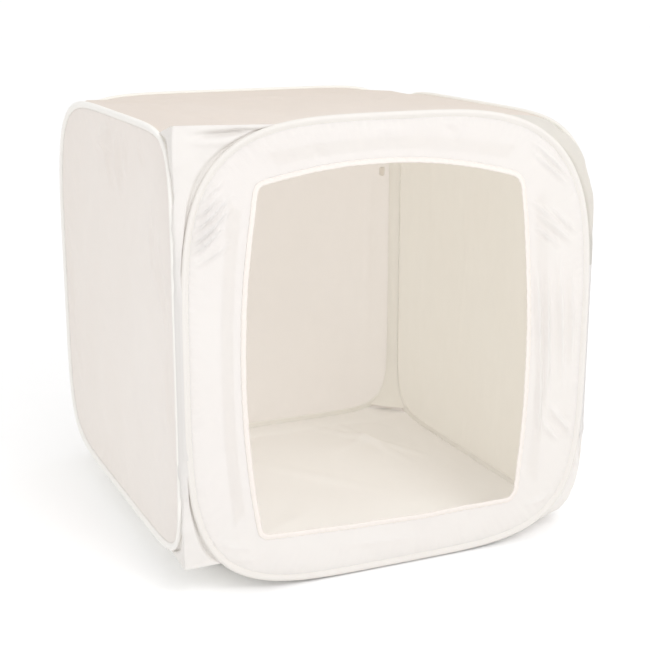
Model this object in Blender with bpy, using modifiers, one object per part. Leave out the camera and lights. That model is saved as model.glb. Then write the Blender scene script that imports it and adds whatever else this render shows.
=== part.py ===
"""Folding light tent: a cube of white cloth held open by four spring-steel hoops.

Metres, +Z up. The origin is on the ground under the middle of the tent, the open
front faces -Y and the tent's left side is at -X. Each upright side is a face: a
closed wire hoop in a folded binding tape, with cloth stretched inside it. The
faces meet at four upright hinge lines, and the cloth top and floor join them.
"""

import math

import bmesh
import bpy
from mathutils import Matrix, Vector

# Frame
HINGE_SPAN = 0.600
HINGE_REACH = HINGE_SPAN / 2
FOLD_CLEARANCE = 0.0008

# Spring wire and the crimped ferrule that closes each hoop
WIRE_DIAMETER = 0.003
WIRE_END_GAP = 0.001
FERRULE_CLEARANCE = 0.0003
FERRULE_WALL = 0.0007
FERRULE_LENGTH = 0.024

# Cloth and sewing
CLOTH = 0.0008
SEWN_GAP = 0.0003
BINDING_ROOM = 0.0004
BINDING_WALL = 0.0007
HEM_WIDTH = 0.0075
HEM_THICKNESS = 0.002
SEAM_TAPE_THICKNESS = 0.001
WELD = 0.00001
HOOK_TAPE_WIDTH = 0.016
HOOK_TAPE_THICKNESS = 0.0012
HOOK_TAPE_EDGE = 0.010
TAB_WIDTH = 0.010
TAB_HEIGHT = 0.016
TAB_CENTRE_HEIGHT = 0.451
TAB_EDGE = 0.022

# Heights of the hoops, over their bindings, from the ground
FRONT_TOP = 0.626
RIGHT_TOP = 0.599
BACK_TOP = 0.606
LEFT_TOP = 0.615
LEFT_LIFT = 0.045
FLOOR_CLEARANCE = 0.0007

# Corner tips of the cloth, from the ground
FRONT_LEFT_TIP_TOP = 0.621
FRONT_LEFT_TIP_BOTTOM = 0.050
FRONT_RIGHT_TIP_TOP = 0.621
FRONT_RIGHT_TIP_BOTTOM = 0.008
BACK_RIGHT_TIP_TOP = 0.600
BACK_RIGHT_TIP_BOTTOM = 0.006
BACK_LEFT_TIP_TOP = 0.612
BACK_LEFT_TIP_BOTTOM = 0.030
TIP_GAP = 0.0009
GUSSET_TOP_START = 0.400
GUSSET_BOTTOM_START = 0.200
GUSSET_END_DROP = 0.006

# Widths of the front border at the opening's corners: from the hinge lines to its
# sides, from the front hoop's top to its upper corners and from the ground to its lower
BORDER_LEFT = 0.105
BORDER_RIGHT = 0.118
BORDER_TOP_LEFT = 0.085
BORDER_TOP_RIGHT = 0.100
BORDER_BOTTOM_LEFT = 0.081
BORDER_BOTTOM_RIGHT = 0.072
OPENING_TOP_BOW = 0.027
OPENING_LEFT_BOW = 0.018
OPENING_RIGHT_BOW = 0.021
OPENING_BOTTOM_BOW = 0.002

# Slack of the cloth: how far each sheet's middle stands out, and its main folds
PANEL_BELLY = 0.005
BORDER_BELLY = 0.002
TOP_SAG = 0.012
FOLD_HEIGHT = 0.0022
FOLD_SPACING = 0.120
FOLD_LENGTH = 0.140
FLOOR_MARGIN_WIDTH = 0.045
FLOOR_CORNER_RADIUS = 0.060
FLOOR_FRONT_LEFT_RADIUS = 0.180

# Shares: no unit, chosen by hand
# How square each hoop corner is: 2 is an ellipse, and more is squarer. Seen from
# outside, the order is top right, top left, bottom left, bottom right.
FRONT_CORNER_SHARES = (3.4, 4.0, 4.2, 4.5)
RIGHT_CORNER_SHARES = (9.0, 4.6, 6.0, 9.0)
BACK_CORNER_SHARES = (7.0, 8.0, 9.0, 6.0)
LEFT_CORNER_SHARES = (9.0, 4.0, 6.0, 8.0)
# How far the cloth of each tent corner reaches from the straight line between its
# two hoops, 0, to the corner of the box, 1, at the top and at the bottom
FRONT_LEFT_TIP_SHARES = (1.0, 1.0)
FRONT_RIGHT_TIP_SHARES = (0.12, 0.2)
BACK_RIGHT_TIP_SHARES = (0.25, 0.4)
BACK_LEFT_TIP_SHARES = (0.15, 0.4)
BEND_SHARE = 0.55
BORDER_RISE_SHARE = 0.1
SEAM_LENGTH_SHARE = 0.5

# Side and rise of the four corners of a hoop, in the order of its corner shares
CORNER_ORDER = ((1, 1), (-1, 1), (-1, -1), (1, -1))

# Counts
QUARTER = 10
DENSE = 200
GUSSET_ROWS = 8
BORDER_RINGS = 4
MARGIN_RINGS = 3
SECTION_POINTS = 7
FLOOR_CORNER_STEPS = 6
TAPE_STEPS = 8
TURN_STEPS = 12
FINE_STEPS = 2
PLAIN_STEPS = 1

# Sizes that follow
WIRE_RADIUS = WIRE_DIAMETER / 2
FERRULE_BORE_RADIUS = WIRE_RADIUS + FERRULE_CLEARANCE
FERRULE_RADIUS = FERRULE_BORE_RADIUS + FERRULE_WALL
BINDING_BORE_RADIUS = FERRULE_RADIUS + BINDING_ROOM
BINDING_RADIUS = BINDING_BORE_RADIUS + BINDING_WALL
HALF_CLOTH = CLOTH / 2
MOUTH_HALF_HEIGHT = HALF_CLOTH + SEWN_GAP
# Beside its hinge line each hoop stands this far out and this far in, so that four
# bound hoops pass each other as the tent folds flat.
HINGE_OFFSET = BINDING_RADIUS + FOLD_CLEARANCE / 2
HOOP_REACH = HINGE_REACH - HINGE_OFFSET
PANEL_INSET = FERRULE_RADIUS + SEWN_GAP
RESTING_BOTTOM = CLOTH + FLOOR_CLEARANCE
EDGE_OFFSET = BINDING_RADIUS + SEWN_GAP
OPENING_LEFT = HINGE_REACH - BORDER_LEFT
OPENING_RIGHT = HINGE_REACH - BORDER_RIGHT
OPENING_LEFT_TOP = FRONT_TOP - BORDER_TOP_LEFT
OPENING_RIGHT_TOP = FRONT_TOP - BORDER_TOP_RIGHT
FLOOR_HALF_WIDTH = HINGE_REACH - FLOOR_MARGIN_WIDTH

CLOTH_WHITE = (0.87, 0.84, 0.80)
TAPE_WHITE = (0.89, 0.86, 0.82)
STEEL = (0.42, 0.42, 0.43)
ALUMINIUM = (0.62, 0.62, 0.63)
HOOK_TAPE_GREY = (0.62, 0.58, 0.52)


class Face:
    """One upright side. Across is measured to the right as seen from outside."""

    def __init__(self, name, turn, hinge_side, top, bottom, corner_shares):
        self.name = name
        self.turn = Matrix.Rotation(math.radians(turn), 4, "Z")
        self.hinge_side = hinge_side
        self.top = top - BINDING_RADIUS
        self.bottom = bottom + BINDING_RADIUS
        self.corner_shares = corner_shares

    def world(self, across, height, out=0.0):
        """A point of this face: out is measured from the plane of the hoop."""
        return self.turn @ Vector((across, -HINGE_REACH - HINGE_OFFSET - out, height))

    def hoop(self, offset=0.0):
        """The hoop's closed outline, moved outwards in its plane by offset."""
        points = []
        for side, rise in CORNER_ORDER:
            quadrant = [centre + outward * offset for centre, outward in self.arc(side, rise)]
            if side * rise < 0:
                quadrant.reverse()
            points += quadrant[:-1]
        return points

    def arc(self, side, rise):
        """Centres and outward directions from the middle of an upright side to the
        middle of the top, or of the bottom where rise is -1."""
        share = self.corner_shares[CORNER_ORDER.index((side, rise))]
        half_height = (self.top - self.bottom) / 2
        middle = (self.top + self.bottom) / 2
        dense = []
        for step in range(DENSE + 1):
            angle = math.pi / 2 * step / DENSE
            x = max(math.cos(angle), 0.0) ** (2 / share)
            z = max(math.sin(angle), 0.0) ** (2 / share)
            centre = Vector((side * x * HOOP_REACH, middle + rise * z * half_height))
            outward_x = side * x ** (share - 1) / HOOP_REACH
            outward_z = rise * z ** (share - 1) / half_height
            dense.append((centre, Vector((outward_x, outward_z)).normalized()))
        return spread(dense, QUARTER)


def spread(places, count):
    """count + 1 places along a curve, closer together where it bends."""
    points = [centre for centre, _ in places]
    steps = [b - a for a, b in zip(points, points[1:])]
    turns = [0.0]
    for before, after in zip(steps, steps[1:]):
        turns.append(before.angle(after, 0.0))
    length = sum(step.length for step in steps)
    turned = sum(turns) or 1.0
    marks = [0.0]
    for step, bend in zip(steps, turns):
        share = (1 - BEND_SHARE) * step.length / length + BEND_SHARE * bend / turned
        marks.append(marks[-1] + share)
    chosen = []
    for index in range(count + 1):
        target = marks[-1] * index / count
        nearest = min(range(len(marks)), key=lambda k: abs(marks[k] - target))
        chosen.append(places[nearest])
    return chosen


def between_heights(arc, start, finish):
    """The places of an arc from one height to another, with both ends cut exactly."""
    low, high = sorted((start, finish))
    ends = []
    for height in (start, finish):
        for (a, a_out), (b, b_out) in zip(arc, arc[1:]):
            if min(a.y, b.y) <= height <= max(a.y, b.y):
                share = (height - a.y) / (b.y - a.y)
                ends.append((a.lerp(b, share), a_out.lerp(b_out, share).normalized()))
                break
    return [ends[0]] + [place for place in arc if low < place[0].y < high] + [ends[1]]


def padded(arc, count):
    """Cuts the longest straight pieces of an arc in half until it has count places."""
    arc = list(arc)
    while len(arc) < count:
        lengths = [(b[0] - a[0]).length for a, b in zip(arc, arc[1:])]
        k = lengths.index(max(lengths))
        (a, a_out), (b, b_out) = arc[k], arc[k + 1]
        arc.insert(k + 1, (a.lerp(b, 0.5), a_out.lerp(b_out, 0.5).normalized()))
    return arc


def along(points, count):
    """count + 1 points at even distances along a polyline."""
    lengths = [0.0]
    for a, b in zip(points, points[1:]):
        lengths.append(lengths[-1] + (b - a).length)
    result = []
    for index in range(count + 1):
        target = lengths[-1] * index / count
        k = 1
        while k < len(points) - 1 and lengths[k] < target:
            k += 1
        span = lengths[k] - lengths[k - 1]
        result.append(points[k - 1].lerp(points[k], (target - lengths[k - 1]) / span))
    return result


def divided(points, steps):
    """The polyline with each straight piece cut into equal parts."""
    result = []
    for a, b in zip(points, points[1:]):
        result += [a.lerp(b, step / steps) for step in range(steps)]
    return result + [points[-1]]


def bump(distance, width):
    """1 at the middle, falling smoothly to 0 at this distance."""
    reach = min(abs(distance) / width, 1.0)
    return (1 - reach * reach) ** 2


def dome(u, v):
    """1 in the middle of a sheet, falling smoothly to 0 along its four edges."""
    return (16 * u * (1 - u) * v * (1 - v)) ** 2


FRONT = Face("front", 0, -1, FRONT_TOP, RESTING_BOTTOM, FRONT_CORNER_SHARES)
RIGHT = Face("right", 90, 1, RIGHT_TOP, RESTING_BOTTOM, RIGHT_CORNER_SHARES)
BACK = Face("back", 180, 0, BACK_TOP, RESTING_BOTTOM, BACK_CORNER_SHARES)
LEFT = Face("left", 270, -1, LEFT_TOP, LEFT_LIFT, LEFT_CORNER_SHARES)
FACES = (FRONT, RIGHT, BACK, LEFT)


class Corner:
    """One upright edge of the tent, where the right edge of one face meets the left edge
    of the next, with the tips of cloth at its top and bottom."""

    def __init__(self, name, right_of, left_of, carrier, tip_shares, tip_heights):
        self.name = name
        self.right_of = right_of
        self.left_of = left_of
        self.carrier = carrier
        self.tip_shares = tip_shares
        self.tip_heights = tip_heights

    def tip_share(self, rise):
        return self.tip_shares[0 if rise > 0 else 1]

    def tip_height(self, rise):
        return self.tip_heights[0 if rise > 0 else 1]

    def end_height(self, face, rise):
        """Where the corner's cloth leaves a hoop, at its top or bottom end."""
        if rise > 0:
            return face.top - GUSSET_END_DROP
        own = face.bottom + GUSSET_END_DROP
        return own + (max(self.tip_height(rise), own) - own) * self.tip_share(rise)

    def arc(self, face, side, rise):
        """The part of a hoop that the corner's cloth is sewn to."""
        start = GUSSET_TOP_START if rise > 0 else GUSSET_BOTTOM_START
        arc = between_heights(face.arc(side, rise), start, self.end_height(face, rise))
        return padded(arc, GUSSET_ROWS)

    def cloth_rows(self, rise):
        """The cloth between the two hoops: each row runs from hoop to hoop."""
        before = self.arc(self.right_of, 1, rise)
        after = self.arc(self.left_of, -1, rise)
        box_corner = self.right_of.world(HINGE_REACH + HINGE_OFFSET, 0.0)
        rows = []
        for k in range(GUSSET_ROWS):
            share = k / (GUSSET_ROWS - 1)
            centres = self.right_of.world(*before[k][0]), self.left_of.world(*after[k][0])
            chord = centres[0].lerp(centres[1], 0.5)
            full = Vector((box_corner.x, box_corner.y, chord.z))
            full.z += (self.tip_height(rise) - full.z) * share
            ridge = chord.lerp(full, 1 - (1 - self.tip_share(rise)) * (1 - (1 - share) ** 2))
            a = sewn_edge(self.right_of, before[k], ridge)
            b = sewn_edge(self.left_of, after[k], ridge)
            rows.append([a, a.lerp(ridge, 0.5), ridge, ridge.lerp(b, 0.5), b])
        return rows

    def tip(self, rise):
        """Where the top or floor cloth's corner meets the corner's cloth."""
        tip = self.cloth_rows(rise)[-1][2]
        inwards = Vector((-tip.x, -tip.y, 0.0)).normalized()
        return tip + inwards * (CLOTH + TIP_GAP)


def sewn_edge(face, place, towards):
    """Where cloth that runs towards a point leaves the binding."""
    centre = face.world(*place[0])
    outward = face.world(*(place[0] + place[1])) - centre
    normal = face.turn @ Vector((0.0, -1.0, 0.0))
    way = towards - centre
    across_tube = outward * way.dot(outward) + normal * way.dot(normal)
    return centre + across_tube.normalized() * EDGE_OFFSET


FRONT_RIGHT_TIPS = (FRONT_RIGHT_TIP_TOP, FRONT_RIGHT_TIP_BOTTOM)
BACK_RIGHT_TIPS = (BACK_RIGHT_TIP_TOP, BACK_RIGHT_TIP_BOTTOM)
BACK_LEFT_TIPS = (BACK_LEFT_TIP_TOP, BACK_LEFT_TIP_BOTTOM)
FRONT_LEFT_TIPS = (FRONT_LEFT_TIP_TOP, FRONT_LEFT_TIP_BOTTOM)
CORNERS = (
    Corner("front_right", FRONT, RIGHT, RIGHT, FRONT_RIGHT_TIP_SHARES, FRONT_RIGHT_TIPS),
    Corner("back_right", RIGHT, BACK, BACK, BACK_RIGHT_TIP_SHARES, BACK_RIGHT_TIPS),
    Corner("back_left", BACK, LEFT, BACK, BACK_LEFT_TIP_SHARES, BACK_LEFT_TIPS),
    Corner("front_left", LEFT, FRONT, LEFT, FRONT_LEFT_TIP_SHARES, FRONT_LEFT_TIPS),
)


def clear_scene():
    for obj in list(bpy.data.objects):
        bpy.data.objects.remove(obj, do_unlink=True)


def new_collection(name):
    collection = bpy.data.collections.new(name)
    bpy.context.scene.collection.children.link(collection)
    return collection


def finish_material(name, colour, roughness, metallic=0.0):
    material = bpy.data.materials.new(name)
    material.use_nodes = True
    shader = material.node_tree.nodes["Principled BSDF"]
    shader.inputs["Base Color"].default_value = (*colour, 1.0)
    shader.inputs["Roughness"].default_value = roughness
    shader.inputs["Metallic"].default_value = metallic
    return material


def hinge_empties(collection):
    """One empty a face on its hinge line, turned so that its Z points out of the tent."""
    empties = {}
    for face in FACES:
        empty = bpy.data.objects.new(f"{face.name}_hinge", None)
        on_line = Vector((face.hinge_side * HINGE_REACH, -HINGE_REACH, 0.0))
        upright = Matrix.Rotation(math.radians(90), 4, "X")
        empty.matrix_world = Matrix.Translation(face.turn @ on_line) @ face.turn @ upright
        collection.objects.link(empty)
        empties[face.name] = empty
    return empties


def add_object(name, data, material):
    data.materials.append(material)
    obj = bpy.data.objects.new(name, data)
    PARTS.objects.link(obj)
    return obj


def on_face(obj, face):
    """Stands an object drawn flat, X across and Y up, in the plane of the face's hoop."""
    obj.parent = HINGES[face.name]
    obj.location = (-face.hinge_side * HINGE_REACH, 0.0, HINGE_OFFSET)
    return obj


def riding(obj, face):
    """Leaves an object drawn in world places where it is, and lets it follow a face."""
    obj.parent = HINGES[face.name]
    obj.matrix_parent_inverse = HINGES[face.name].matrix_world.inverted()
    return obj


def sheet_mesh(name, rows, closed=False):
    """An open surface through a grid of points. Closed joins the last column to the first."""
    shape = bmesh.new()
    grid = [[shape.verts.new(point) for point in row] for row in rows]
    columns = len(rows[0])
    for upper, lower in zip(grid, grid[1:]):
        for column in range(columns if closed else columns - 1):
            after = (column + 1) % columns
            shape.faces.new((upper[column], lower[column], lower[after], upper[after]))
    bmesh.ops.recalc_face_normals(shape, faces=shape.faces)
    mesh = bpy.data.meshes.new(name)
    shape.to_mesh(mesh)
    shape.free()
    mesh.shade_smooth()
    return mesh


def thickened(obj, thickness):
    solid = obj.modifiers.new("thickness", "SOLIDIFY")
    solid.thickness = thickness
    solid.offset = 0.0
    return obj


def poly_curve(name, points, cyclic, flat):
    curve = bpy.data.curves.new(name, "CURVE")
    curve.dimensions = "2D" if flat else "3D"
    spline = curve.splines.new("POLY")
    spline.points.add(len(points) - 1)
    for target, point in zip(spline.points, points):
        target.co = (point.x, point.y, 0.0, 1.0)
    spline.use_cyclic_u = cyclic
    return curve


def patch(edges, steps):
    """Fills four joined polylines, top, right, bottom and left, with a grid of points."""
    top, right, bottom, left = (divided(edge, steps) for edge in edges)
    columns = len(top) - 1
    rows = len(left) - 1
    grid = []
    for row in range(rows + 1):
        v = row / rows
        line = []
        for column in range(columns + 1):
            u = column / columns
            sides = left[row].lerp(right[row], u)
            ends = top[column].lerp(bottom[column], v)
            corners = top[0].lerp(top[-1], u).lerp(bottom[0].lerp(bottom[-1], u), v)
            line.append(sides + ends - corners)
        grid.append(line)
    return grid


def hoop_sides(outline):
    """Cuts a closed hoop outline at its four rounded corners: top, right, bottom, left,
    with the top and bottom read from left to right and the sides from top to bottom."""
    half = QUARTER // 2
    turned = outline[half:] + outline[: half + 1]
    top, left, bottom, right = (turned[k * QUARTER : (k + 1) * QUARTER + 1] for k in range(4))
    return top[::-1], right[::-1], bottom, left


def opening_edge(start, end, bow, side):
    """One bowed edge of the opening, with as many points as a side of the hoop."""
    points = []
    for step in range(QUARTER + 1):
        share = step / QUARTER
        lift = 4 * share * (1 - share) * bow
        point = start.lerp(end, share)
        points.append(point + side * lift)
    return points


def opening_outline(grow=0.0):
    """The opening's closed outline, in the same order as Face.hoop from its top right."""
    right_top = Vector((OPENING_RIGHT + grow, OPENING_RIGHT_TOP + grow))
    left_top = Vector((-OPENING_LEFT - grow, OPENING_LEFT_TOP + grow))
    left_bottom = Vector((-OPENING_LEFT - grow, BORDER_BOTTOM_LEFT - grow))
    right_bottom = Vector((OPENING_RIGHT + grow, BORDER_BOTTOM_RIGHT - grow))
    up = Vector((0.0, 1.0))
    right = Vector((1.0, 0.0))
    outline = opening_edge(right_top, left_top, OPENING_TOP_BOW, up)[:-1]
    outline += opening_edge(left_top, left_bottom, OPENING_LEFT_BOW, -right)[:-1]
    outline += opening_edge(left_bottom, right_bottom, OPENING_BOTTOM_BOW, -up)[:-1]
    outline += opening_edge(right_bottom, right_top, OPENING_RIGHT_BOW, right)[:-1]
    return outline


def border_out(point):
    """How far the front border's cloth stands out of the hoop's plane."""
    middle = (FRONT.top + FRONT.bottom) / 2
    share = FRONT_CORNER_SHARES[0]
    x = abs(point.x) / HOOP_REACH
    z = abs(point.y - middle) / (FRONT.top - middle)
    inwards = 1 - min((x ** share + z ** share) ** (1 / share), 1.0)
    return BORDER_BELLY * min(inwards / BORDER_RISE_SHARE, 1.0)


def panel_out(face, point, across, down):
    """A side panel bellies out and gathers in upright folds below its top edge.
    Across and down are the point's shares of the way over the panel."""
    below_top = face.top - point.y
    gather = math.cos(math.tau * point.x / FOLD_SPACING) * bump(below_top, FOLD_LENGTH)
    return dome(across, down) * PANEL_BELLY + dome(across, down) ** 0.5 * FOLD_HEIGHT * gather


def binding_section():
    """The binding's cut end: a ring of tape, open towards the middle of the hoop."""
    outer_mouth = math.asin(MOUTH_HALF_HEIGHT / BINDING_RADIUS)
    inner_mouth = math.asin(MOUTH_HALF_HEIGHT / BINDING_BORE_RADIUS)
    points = []
    for radius, mouth, order in (
        (BINDING_RADIUS, outer_mouth, 1),
        (BINDING_BORE_RADIUS, inner_mouth, -1),
    ):
        arc = []
        for step in range(SECTION_POINTS):
            angle = mouth + (math.tau - 2 * mouth) * step / (SECTION_POINTS - 1)
            arc.append(Vector((-radius * math.cos(angle), radius * math.sin(angle))))
        points += arc[::order]
    return points


def build_hoop(face):
    """Wire, ferrule and binding of one face."""
    outline = face.hoop()
    lowest = 3 * QUARTER
    path = outline[lowest + 1 :] + outline[:lowest]
    level = outline[lowest].y
    start = [Vector((WIRE_END_GAP / 2, level)), Vector((FERRULE_LENGTH / 2, level))]
    finish = [Vector((-point.x, point.y)) for point in reversed(start)]
    wire = poly_curve(f"{face.name}_hoop_wire", start + path + finish, False, False)
    wire.bevel_depth = WIRE_RADIUS
    wire.bevel_resolution = 1
    wire.use_fill_caps = True
    on_face(add_object(wire.name, wire, MATERIALS["steel"]), face)

    binding = poly_curve(f"{face.name}_binding", outline, True, False)
    binding.bevel_mode = "OBJECT"
    binding.bevel_object = SECTION
    on_face(add_object(binding.name, binding, MATERIALS["tape"]), face)

    ferrule = turned_tube(f"{face.name}_ferrule", FERRULE_BORE_RADIUS, FERRULE_RADIUS, FERRULE_LENGTH)
    on_face(ferrule, face)
    ferrule.location.y = level


def turned_tube(name, bore_radius, radius, length):
    """A short tube along X, turned from its wall's outline."""
    shape = bmesh.new()
    half = length / 2
    places = ((half, radius), (-half, radius), (-half, bore_radius), (half, bore_radius))
    corners = [shape.verts.new((x, y, 0.0)) for x, y in places]
    for k, corner in enumerate(corners):
        shape.edges.new((corner, corners[(k + 1) % len(corners)]))
    mesh = bpy.data.meshes.new(name)
    shape.to_mesh(mesh)
    shape.free()
    tube = add_object(name, mesh, MATERIALS["ferrule"])
    screw = tube.modifiers.new("turned", "SCREW")
    screw.axis = "X"
    screw.steps = TURN_STEPS
    screw.render_steps = TURN_STEPS
    screw.use_merge_vertices = True
    screw.merge_threshold = WELD
    return tube


def build_panel(name, face, steps):
    edges = hoop_sides(face.hoop(-PANEL_INSET))
    rows = patch(edges, steps)
    surface = []
    for down, row in enumerate(rows):
        line = []
        for across, p in enumerate(row):
            out = panel_out(face, p, across / (len(row) - 1), down / (len(rows) - 1))
            line.append(Vector((p.x, p.y, out)))
        surface.append(line)
    panel = add_object(name, sheet_mesh(name, surface), MATERIALS["cloth"])
    return thickened(on_face(panel, face), CLOTH)


def ring_rows(outer, inner, rings):
    return [[a.lerp(b, ring / rings) for a, b in zip(outer, inner)] for ring in range(rings + 1)]


def build_front_border():
    """The cloth ring round the opening, its hem and the hook tapes behind it."""
    half = QUARTER // 2
    hoop = FRONT.hoop(-PANEL_INSET)
    outer = hoop[half:] + hoop[:half]
    inner = opening_outline(HEM_WIDTH + SEWN_GAP)
    rows = []
    for row in ring_rows(outer, inner, BORDER_RINGS):
        rows.append([Vector((p.x, p.y, border_out(p))) for p in row])
    border = add_object("front_border", sheet_mesh("front_border", rows, True), MATERIALS["cloth"])
    thickened(on_face(border, FRONT), CLOTH)

    rows = []
    for row in (opening_outline(HEM_WIDTH), opening_outline()):
        rows.append([Vector((p.x, p.y, border_out(p))) for p in row])
    hem = add_object("opening_hem", sheet_mesh("opening_hem", rows, True), MATERIALS["tape"])
    thickened(on_face(hem, FRONT), HEM_THICKNESS)

    near = opening_outline(HEM_WIDTH + HOOK_TAPE_EDGE)
    far = opening_outline(HEM_WIDTH + HOOK_TAPE_EDGE + HOOK_TAPE_WIDTH)
    behind = HALF_CLOTH + SEWN_GAP + HOOK_TAPE_THICKNESS / 2
    for name, first in (("cover_tape_top", 0), ("cover_tape_left", 1), ("cover_tape_right", 3)):
        start = first * QUARTER + (QUARTER - TAPE_STEPS) // 2
        rows = []
        for outline in (near, far):
            points = [outline[start + step] for step in range(TAPE_STEPS + 1)]
            rows.append([Vector((p.x, p.y, border_out(p) - behind)) for p in points])
        tape = add_object(name, sheet_mesh(name, rows), MATERIALS["hook_tape"])
        thickened(on_face(tape, FRONT), HOOK_TAPE_THICKNESS)


def box_mesh(name, size):
    shape = bmesh.new()
    bmesh.ops.create_cube(shape, size=1.0, matrix=Matrix.Diagonal((*size, 1.0)))
    mesh = bpy.data.meshes.new(name)
    shape.to_mesh(mesh)
    shape.free()
    return mesh


def build_backdrop_tabs():
    """Two hook-tape tabs inside the back, near its upright edges, that hold a backdrop."""
    size = (TAB_WIDTH, TAB_HEIGHT, HOOK_TAPE_THICKNESS)
    for name, side in (("backdrop_tab_left", 1), ("backdrop_tab_right", -1)):
        across = side * (HOOP_REACH - TAB_EDGE)
        tab = on_face(add_object(name, box_mesh(name, size), MATERIALS["hook_tape"]), BACK)
        behind = MOUTH_HALF_HEIGHT + HOOK_TAPE_THICKNESS / 2
        tab.location += Vector((across, TAB_CENTRE_HEIGHT, -behind))


def build_gusset(corner, rise):
    place = "top" if rise > 0 else "bottom"
    name = f"{corner.name}_{place}_gusset"
    gusset = add_object(name, sheet_mesh(name, corner.cloth_rows(rise)), MATERIALS["cloth"])
    return thickened(riding(gusset, corner.carrier), CLOTH)


def build_corner_seam(corner):
    """The sewn strip on a hinge line, between the two bound hoops."""
    low = max(corner.right_of.bottom, corner.left_of.bottom)
    high = min(corner.right_of.top, corner.left_of.top)
    width = 2 * (math.sqrt(2) * HINGE_OFFSET - EDGE_OFFSET)
    size = (width, SEAM_TAPE_THICKNESS, (high - low) * SEAM_LENGTH_SHARE)
    name = f"{corner.name}_seam"
    seam = add_object(name, box_mesh(name, size), MATERIALS["tape"])
    turn = corner.right_of.turn @ Matrix.Rotation(math.radians(45), 4, "Z")
    seam.location = corner.right_of.world(HINGE_REACH, (low + high) / 2, -HINGE_OFFSET)
    seam.rotation_euler = turn.to_euler()
    return riding(seam, corner.carrier)


def cloth_edges(rise):
    """Top or floor cloth's edge along the four faces, corner to corner, in face order."""
    inside = -(EDGE_OFFSET + CLOTH)
    edges = []
    for index, face in enumerate(FACES):
        halves = []
        for side, corner in ((-1, CORNERS[index - 1]), (1, CORNERS[index])):
            arc = face.arc(side, rise)
            crown = between_heights(arc, corner.end_height(face, rise), arc[-1][0].y)
            places = [face.world(place.x, place.y, inside) for place, _ in crown]
            halves.append([corner.tip(rise)] + places)
        edges.append(halves[0] + halves[1][::-1][1:])
    return edges


def build_top():
    front, right, back, left = (along(edge, 2 * QUARTER) for edge in cloth_edges(1))
    grid = patch((back[::-1], right[::-1], front, left), PLAIN_STEPS)
    rows = []
    for row_index, row in enumerate(grid):
        v = row_index / (len(grid) - 1)
        line = []
        for column_index, point in enumerate(row):
            u = column_index / (len(row) - 1)
            fold = math.cos(math.tau * (point.x + point.y / 2) / (2 * FOLD_SPACING))
            hang = dome(u, v) ** 0.5 * (TOP_SAG + FOLD_HEIGHT * fold)
            line.append(point - Vector((0.0, 0.0, hang)))
        rows.append(line)
    top = add_object("top_panel", sheet_mesh("top_panel", rows), MATERIALS["cloth"])
    return thickened(top, CLOTH)


def half_corner(reach, radius):
    """Half of a rounded corner at the floor's front left, from its middle to the side."""
    centre = radius - reach
    points = []
    for step in range(FLOOR_CORNER_STEPS + 1):
        angle = math.radians(-135 + 45 * step / FLOOR_CORNER_STEPS)
        x = centre + radius * math.cos(angle)
        points.append(Vector((x, centre + radius * math.sin(angle))))
    return points


def floor_sides(reach):
    """The flat floor's outline, as four sides from corner middle to corner middle."""
    radii = (FLOOR_FRONT_LEFT_RADIUS,) + 3 * (FLOOR_CORNER_RADIUS,)
    sides = []
    for turn, radius in enumerate(radii):
        turned = Matrix.Rotation(math.pi / 2 * turn, 2)
        finish = half_corner(reach, radii[(turn + 1) % len(radii)])
        outline = half_corner(reach, radius) + [Vector((-p.x, p.y)) for p in reversed(finish)]
        sides.append([turned @ p for p in along(outline, QUARTER)])
    return sides


def build_floor():
    """The flat cloth that the tent stands on, and the margin that climbs to the hoops."""
    outline = [p for side in floor_sides(FLOOR_HALF_WIDTH) for p in side[:-1]]
    curve = poly_curve("floor_panel", outline, True, True)
    curve.fill_mode = "BOTH"
    curve.extrude = HALF_CLOTH
    panel = add_object("floor_panel", curve, MATERIALS["cloth"])
    panel.location.z = HALF_CLOTH

    inner = []
    for side in floor_sides(FLOOR_HALF_WIDTH + SEWN_GAP):
        inner += [Vector((p.x, p.y, HALF_CLOTH)) for p in side[:-1]]
    outer = []
    for edge in cloth_edges(-1):
        outer += along(edge, QUARTER)[:-1]
    rows = []
    for ring in range(MARGIN_RINGS + 1):
        share = ring / MARGIN_RINGS
        rows.append([a.lerp(b, share) for a, b in zip(inner, outer)])
    margin = add_object("floor_margin", sheet_mesh("floor_margin", rows, True), MATERIALS["cloth"])
    return thickened(margin, CLOTH)


clear_scene()
PARTS = new_collection("light_tent_cube")
GUIDES = new_collection("guides")
MATERIALS = {
    "cloth": finish_material("white_nylon", CLOTH_WHITE, 0.75),
    "tape": finish_material("white_binding_tape", TAPE_WHITE, 0.7),
    "steel": finish_material("spring_steel", STEEL, 0.35, 1.0),
    "ferrule": finish_material("crimped_aluminium", ALUMINIUM, 0.4, 1.0),
    "hook_tape": finish_material("hook_tape", HOOK_TAPE_GREY, 0.9),
}
HINGES = hinge_empties(PARTS)
bpy.context.view_layer.update()
SECTION_CURVE = poly_curve("binding_section", binding_section(), True, True)
SECTION = bpy.data.objects.new("binding_section", SECTION_CURVE)
SECTION.hide_render = True
SECTION.display_type = "WIRE"
GUIDES.objects.link(SECTION)

for each_face in FACES:
    build_hoop(each_face)
build_front_border()
build_panel("left_panel", LEFT, FINE_STEPS)
build_panel("right_panel", RIGHT, PLAIN_STEPS)
build_panel("back_panel", BACK, PLAIN_STEPS)
build_backdrop_tabs()
build_top()
build_floor()
for each_corner in CORNERS:
    build_corner_seam(each_corner)
    build_gusset(each_corner, 1)
    build_gusset(each_corner, -1)
bpy.context.view_layer.update()
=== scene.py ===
import math

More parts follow.
